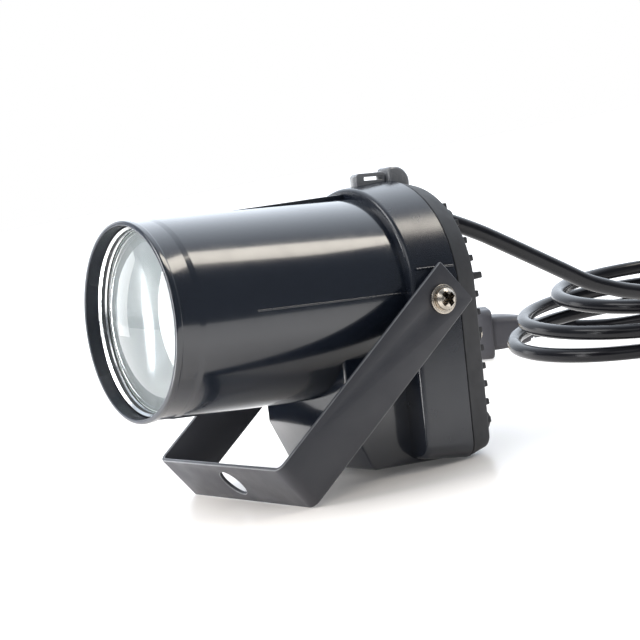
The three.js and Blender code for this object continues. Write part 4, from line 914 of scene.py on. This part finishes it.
# The lug and its cheek take the pale grey of the painted reflection.
lug = prism(
    "cover_lug", lug_outline, -lug_half, lug_half, painted_reflection_black, "dark_matt_plastic", 0.0019, segments=6,
)
cheek_front, cheek_nose, cheek_back = cover_front - 0.0002, cover_front - 0.0032, cover_front + lug_brow
cheek_low, cheek_sill, cheek_brow = housing_radius + 0.0003, housing_radius + 0.002, housing_radius + 0.0035
cheek_outline = [
    (cheek_front, cheek_low), (cheek_back, cheek_low), (cheek_back, cheek_brow),
    (cheek_nose + 0.0014, cheek_brow), (cheek_nose, cheek_brow - 0.0008), (cheek_nose, cheek_sill),
    (cheek_front, cheek_sill),
]
cheek = prism(
    "lug_cheek", cheek_outline, -lug_half, 0.0017 - lug_half, painted_reflection_black, "dark_matt_plastic", 0.0003,
)
for piece in (cover_tray, cover_ribs, tall_rib, *cover_pads, exit_collar, lug, cheek):
    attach(piece, "lamp")
    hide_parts("rear_cover")

# Fixings. Nickel-plated pan heads with a cross recess, turned and rolled: four small ones hold the
# cover, and two larger ones with plain washers clamp the yoke and set its friction.
nickel = finish_of(
    "nickel plate", (0.5, 0.44, 0.37), (0.72, 0.66, 0.58), 0.0012, (0.2, 0.34, 0.0008),
    ((0.00025, 0.000008, 0.6),), metallic=1.0,
)
# The faces of each cross recess are laid over with near black: a painted shade in the recess.
recess_shade_mark = nickel.node_tree.nodes.new("ShaderNodeAttribute")
recess_shade_mark.attribute_name = "recess"
laid_over(nickel.node_tree, recess_shade_mark.outputs["Fac"], (0.045, 0.04, 0.038))


def pan_head(name, shank, length, head, height):
    """A pan-head screw on Y, its head's underside at zero, with a cross recess whose faces are marked for a
    painted shade.
    """
    profile = rounded_profile([
        (0, -length, 0), (shank, -length, 0.0004), (shank, 0, 0), (head, 0, 0.0001),
        (head * 0.99, height * 0.5, height * 0.3), (head * 0.62, height * 0.97, head * 0.4), (0, height, 0),
    ], 0.0002, 6)
    piece = revolved(name, profile, 64, nickel, Matrix.Identity(4))
    arm, half, taper = head * 0.72, head * 0.25, 0.6
    low, high = -height * 0.6, height * 1.2
    corners = [
        (x * (taper if y == low else 1), y, z) for y in (low, high)
        for x, z in ((-arm, -half), (arm, -half), (arm, half), (-arm, half))
    ]
    faces = [(0, 1, 2, 3), (7, 6, 5, 4), (0, 4, 5, 1), (1, 5, 6, 2), (2, 6, 7, 3), (3, 7, 4, 0)]
    pierced(piece, *[
        tidied("recess", placed(corners, Matrix.Rotation(turn, 4, "Y")), faces, nickel)
        for turn in (0, pi / 2)
    ])
    # Faces inside the cross are marked for the painted shade.
    shade_marks = piece.data.attributes.new("recess", "FLOAT", "FACE")
    slack, most_corners = 1.02, 8
    for mark, face in zip(shade_marks.data, piece.data.polygons):
        near, far = sorted((abs(face.center.x), abs(face.center.z)))
        within = far < arm * slack and near < half * slack
        mark.value = float(within and len(face.vertices) <= most_corners)
    return piece


screw_tree, screw_in, screw_out = tree_of("screws", Screw="NodeSocketObject", Finish="NodeSocketMaterial")
screw_form = screw_tree.nodes.new("GeometryNodeObjectInfo")
screw_set = screw_tree.nodes.new("GeometryNodeInstanceOnPoints")
screw_spin = screw_tree.nodes.new("GeometryNodeInputNamedAttribute")
screw_spin.data_type = "FLOAT_VECTOR"
filled(screw_spin, {"Name": "facing"})
screw_real = screw_tree.nodes.new("GeometryNodeRealizeInstances")
screw_finish = screw_tree.nodes.new("GeometryNodeSetMaterial")
wired(
    screw_tree, (screw_in, "Screw", screw_form, "Object"), (screw_form, "Geometry", screw_set, "Instance"),
    (screw_in, "Mesh", screw_set, "Points"), (screw_spin, "Attribute", screw_set, "Rotation"),
    (screw_set, "Instances", screw_real, "Geometry"), (screw_real, "Geometry", screw_finish, "Geometry"),
    (screw_in, "Finish", screw_finish, "Material"), (screw_finish, "Geometry", screw_out, "Mesh"),
)


def screwed(name, form, places):
    """A copy of the form at each place, a matrix, made into one piece, and the form is removed."""
    mesh = bpy.data.meshes.new(name)
    mesh.from_pydata([tuple(place.translation) for place in places], [], [])
    facing = mesh.attributes.new("facing", "FLOAT_VECTOR", "POINT")
    for held, place in zip(facing.data, places):
        held.vector = tuple(place.to_euler("XYZ"))
    piece = grown(name, mesh, screw_tree, "nickel_plate", Screw=form, Finish=nickel)
    bpy.data.objects.remove(form)
    return piece


small_screw = pan_head("small screw", 0.0015, 0.008, 0.0029, 0.0023)
head_turns, head_gap = (0.3, 1.0, 0.75, 0.1), 0.00015
cover_screws = screwed("cover_screws", small_screw, [
    lamp_place @ Matrix.Translation((x, rib_top + head_gap, z)) @ Matrix.Rotation(turn, 4, "Y")
    for (x, z), turn in zip(screw_places, head_turns)
])
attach(cover_screws, "lamp")
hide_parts("cover_screw_1", "cover_screw_2", "cover_screw_3", "cover_screw_4")

# Yoke. One strip of 1.5 mm sheet steel, 19.6 mm wide, blanked with a hole for the clamp's bolt and
# one at each pivot, folded twice and powder-coated satin black. Its rounded edges are lighter, a painted
# highlight.
coat = finish_of(
    "satin powder coat", (0.054, 0.056, 0.066), (0.072, 0.074, 0.086), 0.015, (0.38, 0.54, 0.01),
    ((0.0012, 0.00004, 0.7), (0.0003, 0.00001, 0.7)),
)
yoke_place = lamp_place @ Matrix.Translation(pivot) @ Matrix.Rotation(radians(-49.4), 4, "X")
yoke_gap, sheet = 0.001, 0.0015
yoke_inner = housing_radius + yoke_gap
yoke_outer, yoke_half, yoke_reach, yoke_tip = yoke_inner + sheet, 0.0098, 0.0902, 0.0095
fold, fold_steps, yoke_corner, corner_steps = 0.0035, 12, 0.0008, 5
base_hole_radius, pivot_hole_radius = 0.006, 0.0023


def fold_arc(x, radius, start, end):
    """Points of a fold, from one angle to another about its centre."""
    return [
        (x + radius * cos(start + (end - start) * i / fold_steps),
         fold - yoke_reach + radius * sin(start + (end - start) * i / fold_steps))
        for i in range(fold_steps + 1)
    ]


strip = [(yoke_outer, yoke_tip), (yoke_inner, yoke_tip)]
strip += fold_arc(yoke_outer - fold, fold - sheet, 0, -pi / 2)
strip += fold_arc(fold - yoke_outer, fold - sheet, -pi / 2, -pi)
strip += [(-yoke_inner, yoke_tip), (-yoke_outer, yoke_tip)]
strip += fold_arc(fold - yoke_outer, fold, pi, 1.5 * pi)
strip += fold_arc(yoke_outer - fold, fold, -pi / 2, 0)
count = len(strip)
strip_positions = [(x, y, z) for y in (-yoke_half, yoke_half) for x, z in strip]
strip_faces = [tuple(range(count)), tuple(reversed(range(count, 2 * count)))]
strip_faces += [(i, i + count, (i + 1) % count + count, (i + 1) % count) for i in range(count)]
folded_yoke = tidied("folded_yoke", placed(strip_positions, yoke_place), strip_faces, coat)


def yoke_hole(name, radius, low, high, sides, axis):
    outline = [(0, low), (radius, low), (radius, high), (0, high)]
    return revolved(name, outline, sides, coat, yoke_place, axis)


base_hole = yoke_hole(
    "base_hole", base_hole_radius, -yoke_reach - overrun, sheet - yoke_reach + overrun, 96, "Z",
)
yoke_past = yoke_outer + overrun
pivot_hole = yoke_hole("pivot_hole", pivot_hole_radius, -yoke_past, yoke_past, 32, "X")
corner_cutters = []
for side in (-1, 1):
    beyond, arc_y, arc_z = yoke_half + 0.001, yoke_half - yoke_corner, yoke_tip - yoke_corner
    outline = [(side * beyond, yoke_tip + 0.001), (side * beyond, arc_z)]
    outline += [
        (side * (arc_y + yoke_corner * cos(turn)), arc_z + yoke_corner * sin(turn))
        for turn in [pi / 2 * i / corner_steps for i in range(corner_steps + 1)]
    ]
    outline.append((side * arc_y, yoke_tip + 0.001))
    corner_cutters.append(prism("corner", outline, -yoke_past, yoke_past, coat, "yoke_coat", 0, yoke_place))
pierced(folded_yoke, base_hole, pivot_hole, *corner_cutters)
# The yoke's rounded edges take a light grey: a painted highlight along each edge.
painted_highlight_edge = finish_of("coat edge with painted highlight", (0.14, 0.145, 0.16), (0.3, 0.305, 0.32), 0.004, (0.3,))
rounded_edges(folded_yoke, 0.00035, 2, 50, painted_highlight_edge)
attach(folded_yoke, "yoke")
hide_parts("yoke")

washer_gap, washer_thickness, washer_radius = 0.00015, 0.0009, 0.0054
washer_seat = yoke_outer + washer_gap
head_seat = washer_seat + washer_thickness + washer_gap
pivot_form = pan_head("pivot screw", 0.002, 0.0105, 0.0041, 0.0029)
pivot_sides = []
for hand, spin in ((1, 0.62), (-1, 0.2)):
    swing = Matrix.Rotation(-hand * pi / 2, 4, "Z") @ Matrix.Rotation(spin, 4, "Y")
    pivot_sides.append(lamp_place @ Matrix.Translation(pivot + Vector((hand * head_seat, 0, 0))) @ swing)
pivot_screws = screwed("pivot_screws", pivot_form, pivot_sides)
washer_profile = rounded_profile([
    (pivot_hole_radius, 0, 0.0001), (washer_radius, 0, 0.0003), (washer_radius, washer_thickness, 0.0003),
    (pivot_hole_radius, washer_thickness, 0.0001),
], 0.0002)
for side, place in pivot_places.items():
    washer = revolved(
        f"plain_washer_{side}", washer_profile, 96, nickel,
        place @ Matrix.Translation((washer_seat, 0, 0)), "X",
    )
    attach(washer, "lamp")
    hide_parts(f"pivot_washer_{side}")
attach(pivot_screws, "lamp")
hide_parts("pivot_screw_right", "pivot_screw_left")

# Strain relief. A soft PVC grommet snapped into the cover between two flanges, with a grooved boot
# that droops with the lead and keeps it from bending sharply.
neck, flange_radius, flange_front, flange_back = 0.0048, 0.0066, 0.1177, 0.1201
rear_flange = rib_top + 0.0003
grommet_profile = rounded_profile([
    (0, flange_front, 0), (flange_radius, flange_front, 0.0006), (flange_radius, flange_back, 0.0003),
    (neck, flange_back, 0.0002), (neck, rear_flange, 0.0002), (flange_radius, rear_flange, 0.0003),
    (flange_radius, boot_root, 0.0007), (0, boot_root, 0),
], 0.0003)
grommet = revolved("grommet", grommet_profile, 64, dark_pvc, relief_place)
boot_radius, boot_taper, boot_grooves, boot_sink = 0.0057, 0.0013, 4, 0.0006
groove_shape = ((0.0005, 0.0007), (0.0007, 0.0004), (0.0009, 0.0001), (0.0011, 0))


def boot_ring(along, radius, sides=48):
    """A ring of the boot, set along its droop."""
    turn = along / boot_bow
    ring = []
    for k in range(sides):
        angle = 2 * pi * k / sides
        out = boot_bow + radius * sin(angle)
        level = relief_level - boot_bow + out * cos(turn)
        ring.append((radius * cos(angle), boot_root + out * sin(turn), level))
    return ring


boot_stations = [(-boot_sink, boot_radius), (0.0, boot_radius)]
for i in range(1, boot_grooves):
    radius = boot_radius - boot_taper * i / boot_grooves
    middle = boot_length * i / boot_grooves
    boot_stations += [(middle - away, radius - depth) for away, depth in reversed(groove_shape)]
    boot_stations.append((middle, radius - 0.0008))
    boot_stations += [(middle + away, radius - depth) for away, depth in groove_shape]
boot_end_radius = boot_radius - boot_taper
boot_stations += [
    (boot_length - 0.0004, boot_end_radius), (boot_length - 0.0001, boot_end_radius - 0.0002),
    (boot_length, boot_end_radius - 0.0006),
]
boot = lofted(
    "relief_boot", [boot_ring(*station) for station in boot_stations], dark_pvc, angle=50,
)
for piece in (grommet, boot):
    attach(piece, "lamp")
    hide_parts("strain_relief")

# Plug. A three-pin mains plug moulded on the lead in dark PVC: a rounded flange, a grip that draws in
# to the tail, and a slotted tail, with two flat brass blades and a round earth pin.
plug_pvc = moulding_matt("plug pvc", (0.09, 0.09, 0.105), (0.12, 0.12, 0.137), 0.38, 0.52, 0.0005, 0.00002)


def soft_rectangle(width, height, corner, y, steps=10):
    """A rectangle with rounded corners across the plug's axis."""
    ring = []
    for quarter, (sx, sz) in enumerate(((1, 1), (-1, 1), (-1, -1), (1, -1))):
        for i in range(steps + 1):
            turn = pi / 2 * (quarter + i / steps)
            ring.append((
                sx * (width / 2 - corner) + corner * cos(turn), y,
                sz * (height / 2 - corner) + corner * sin(turn),
            ))
    return ring


place_in_lamp = lamp_place.inverted() @ plug_place


def plug_loft(name, rings):
    """Rings across the plug's axis, skinned in its PVC."""
    return lofted(name, [placed(ring, place_in_lamp) for ring in rings], plug_pvc, angle=45)


flange_width, flange_height, flange_depth, flange_corner = 0.026, 0.025, 0.0075, 0.005
flange_sides = (
    (0, 0.0005), (0.00015, 0.0002), (0.0005, 0), (0.0061, 0), (0.0066, 0.0002), (0.0071, 0.0006),
    (0.0074, 0.0012), (flange_depth, 0.002),
)
plug_flange = plug_loft("plug_flange", [
    soft_rectangle(flange_width - 2 * inset, flange_height - 2 * inset, flange_corner - inset / 2, y)
    for y, inset in flange_sides
])
grip_start, grip_length, grip_width, grip_height, grip_corner = 0.0071, 0.0194, 0.021, 0.017, 0.0041
grip_end_width, grip_end_height, grip_squeeze, grip_steps = 0.012, 0.0125, 0.0009, 18
grip_end = grip_start + grip_length
grip_rings = []
for i in range(grip_steps + 1):
    share = i / grip_steps
    squeeze = grip_squeeze * sin(pi * min(1, share * 1.3)) ** 2
    width = grip_width - (grip_width - grip_end_width) * share ** 2 - squeeze
    height = grip_height - (grip_height - grip_end_height) * share ** 2
    grip_rings.append(soft_rectangle(width, height, grip_corner, grip_start + grip_length * share))
for past, inset in ((0.0003, 0.0004), (0.0005, 0.001)):
    grip_rings.append(soft_rectangle(
        grip_end_width - 2 * inset, grip_end_height - 2 * inset, grip_corner - inset, grip_end + past,
    ))
plug_grip = plug_loft("plug_grip", grip_rings)
tail_radius, tail_slots, slot_depth, tail_sink = 0.005, 3, 0.0008, 0.0003
tail_pitch = (plug_length - grip_end) / (tail_slots + 0.5)
tail_profile = [(0, grip_end - tail_sink), (tail_radius, grip_end - tail_sink)]
for i in range(tail_slots):
    radius = tail_radius - 0.0007 * i / tail_slots
    slot_start = grip_end + (i + 1 / 3) * tail_pitch
    slot_end = slot_start + tail_pitch / 3
    tail_profile += rounded_profile([
        (radius, slot_start, 0.0003), (radius - slot_depth, slot_start, 0.0002),
        (radius - slot_depth, slot_end, 0.0002), (radius, slot_end, 0.0003),
    ], 0.0003)
tail_profile += [
    (tail_radius - 0.0007, plug_length - 0.0004), (tail_radius - 0.0009, plug_length), (0, plug_length),
]
plug_tail = revolved("plug_tail", tail_profile, 48, plug_pvc, plug_place)

brass = finish_of(
    "drawn brass", (0.52, 0.37, 0.15), (0.68, 0.52, 0.24), 0.002, (0.2, 0.38, 0.001),
    ((0.0003, 0.000008, 0.6),), metallic=1.0,
)
blade_side, blade_level, blade_half, blade_sheet = 0.00635, 0.004, 0.00315, 0.0015
blade_root, blade_end, blade_nip = 0.0038, -0.016, 0.0015
eye_middle, eye_radius, eye_steps = -0.0114, 0.0016, 24
blade_low, blade_high = blade_level - blade_half, blade_level + blade_half
blade_outline = [
    (blade_root, blade_low), (blade_root, blade_high), (blade_end + blade_nip, blade_high),
    (blade_end, blade_high - blade_nip), (blade_end, blade_low + blade_nip),
    (blade_end + blade_nip, blade_low),
]
eye_ring = [
    (eye_middle + eye_radius * cos(turn), blade_level + eye_radius * sin(turn))
    for turn in [2 * pi * k / eye_steps for k in range(eye_steps)]
]
pins = [
    prism(
        f"brass_blade_{i + 1}", blade_outline, x - blade_sheet / 2, x + blade_sheet / 2, brass, "brass_pin",
        0.0002, plug_place, 2, hole=eye_ring,
    )
    for i, x in enumerate((-blade_side, blade_side))
]
earth_radius, earth_end, earth_level = 0.0024, -0.0195, -0.0079
pin_profile = rounded_profile([
    (0, blade_root, 0), (earth_radius, blade_root, 0), (earth_radius, earth_end + 0.0019, 0.0012),
    (earth_radius / 2, earth_end, 0.0006), (0, earth_end, 0),
], 0.0002)
pins.append(revolved(
    "brass_earth_pin", pin_profile, 48, brass,
    plug_place @ Matrix.Translation((0, 0, earth_level)),
))
for piece in (plug_flange, plug_grip, plug_tail):
    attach(piece, "lamp")
    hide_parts("plug_body")
for piece, node in zip(pins, ("plug_blade_1", "plug_blade_2", "plug_earth_pin")):
    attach(piece, "lamp")
    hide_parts(node)

# Table, backdrop and light. A glossy white table before a white backdrop that is brightest above and
# behind the lamp. Five soft boxes: a warm upright one behind on the right, one beside the camera, two
# in front of the lens and a narrow one close to it, for the bright crescent at the glass's edge.
table_end, table_near = 6, 0.36
table_mesh = bpy.data.meshes.new("table")
table_mesh.from_pydata([
    (-table_end, -table_end, 0), (table_near, -table_end, 0), (table_near, table_end, 0),
    (-table_end, table_end, 0),
], [], [(0, 1, 2, 3)])
table = bpy.data.objects.new("table", table_mesh)
scene.collection.objects.link(table)
white_table, table_tree, table_surface, table_where = shader("white table", (0.9, 0.85, 0.8), 0.3)
filled(table_surface, {"Specular IOR Level": 0.25, "Emission Color": (1, 1, 1, 1)})
# For camera, glossy and transmission rays the table glows faintly within 4 cm of the lamp's foot and fully
# past 14 cm: a painted brightening away from the lamp that leaves the shade near its foot darker.
away = filled(table_tree.nodes.new("ShaderNodeVectorMath"), {1: (0, 0.01, 0)})
away.operation = "DISTANCE"
spread = table_tree.nodes.new("ShaderNodeMapRange")
spread.interpolation_type = "SMOOTHSTEP"
filled(spread, {"From Min": 0.04, "From Max": 0.14, "To Min": 0.06, "To Max": 0.6})
seen = table_tree.nodes.new("ShaderNodeLightPath")
any_seen, back_seen, painted_glow = [table_tree.nodes.new("ShaderNodeMath") for _ in range(3)]
any_seen.use_clamp = back_seen.use_clamp = True
painted_glow.operation = "MULTIPLY"
table_tree.links.new(table_where, away.inputs[0])
wired(
    table_tree, (seen, "Is Camera Ray", any_seen, 0), (seen, "Is Glossy Ray", any_seen, 1),
    (any_seen, "Value", back_seen, 0), (seen, "Is Transmission Ray", back_seen, 1),
    (back_seen, "Value", painted_glow, 0), (away, "Value", spread, "Value"), (spread, "Result", painted_glow, 1),
    (painted_glow, "Value", table_surface, "Emission Strength"),
)
table_mesh.materials.append(white_table)

world = bpy.data.worlds.new("studio")
world.use_nodes = True
scene.world = world
sky = world.node_tree
sky.nodes.clear()
sky_out = sky.nodes.new("ShaderNodeOutputWorld")
sky_way = sky.nodes.new("ShaderNodeTexCoord")
sky_dot = filled(sky.nodes.new("ShaderNodeVectorMath"), {1: (-0.627, 0.527, 0.574)})
sky_dot.operation = "DOT_PRODUCT"
sky_ramp = filled(sky.nodes.new("ShaderNodeMapRange"), {"From Min": 0.1, "From Max": 1.0})
sky_curve = filled(sky.nodes.new("ShaderNodeMath"), {1: 2.0})
sky_curve.operation = "POWER"
sky_level = filled(sky.nodes.new("ShaderNodeMapRange"), {"To Min": 0.17, "To Max": 2.15})
sky_path = sky.nodes.new("ShaderNodeLightPath")
sky_soft = filled(sky.nodes.new("ShaderNodeBackground"), {"Color": (0.84, 0.91, 1, 1)})
sky_white = filled(sky.nodes.new("ShaderNodeBackground"), {"Color": (1, 1, 1, 1)})
sky_mix = sky.nodes.new("ShaderNodeMixShader")
wired(
    sky, (sky_way, "Generated", sky_dot, 0), (sky_dot, "Value", sky_ramp, "Value"),
    (sky_ramp, "Result", sky_curve, 0), (sky_curve, "Value", sky_level, "Value"),
    (sky_level, "Result", sky_soft, "Strength"), (sky_path, "Is Camera Ray", sky_mix, "Fac"),
    (sky_soft, "Background", sky_mix, 1), (sky_white, "Background", sky_mix, 2),
    (sky_mix, "Shader", sky_out, "Surface"),
)


lamp_middle = Vector((0, 0, 0.06))


def softbox(name, azimuth, elevation, distance, width, height, power, colour=(1, 1, 1)):
    """A rectangle of light on a ball round the lamp, facing its middle."""
    light = bpy.data.lights.new(name, "AREA")
    light.shape = "RECTANGLE"
    light.size, light.size_y = width, height
    light.energy = power
    light.color = colour
    box = bpy.data.objects.new(name, light)
    scene.collection.objects.link(box)
    a, e = radians(azimuth), radians(elevation)
    away = Vector((cos(a) * cos(e), sin(a) * cos(e), sin(e)))
    place = lamp_middle + away * distance
    box.matrix_world = Matrix.Translation(place) @ (-away).to_track_quat("-Z", "Y").to_matrix().to_4x4()


softbox("warm box", 56, 51, 1.6, 0.34, 0.54, 4.3, (1, 0.93, 0.82))
softbox("front box", -104, 50, 1.2, 0.7, 0.4, 4)
softbox("far front box", -161, 4, 1.17, 0.34, 0.7, 1.6)
softbox("lens edge box", -99, 10, 0.19, 0.05, 0.18, 0.31)
softbox("camera side box", -50, 35, 1.5, 0.9, 0.6, 2.5)
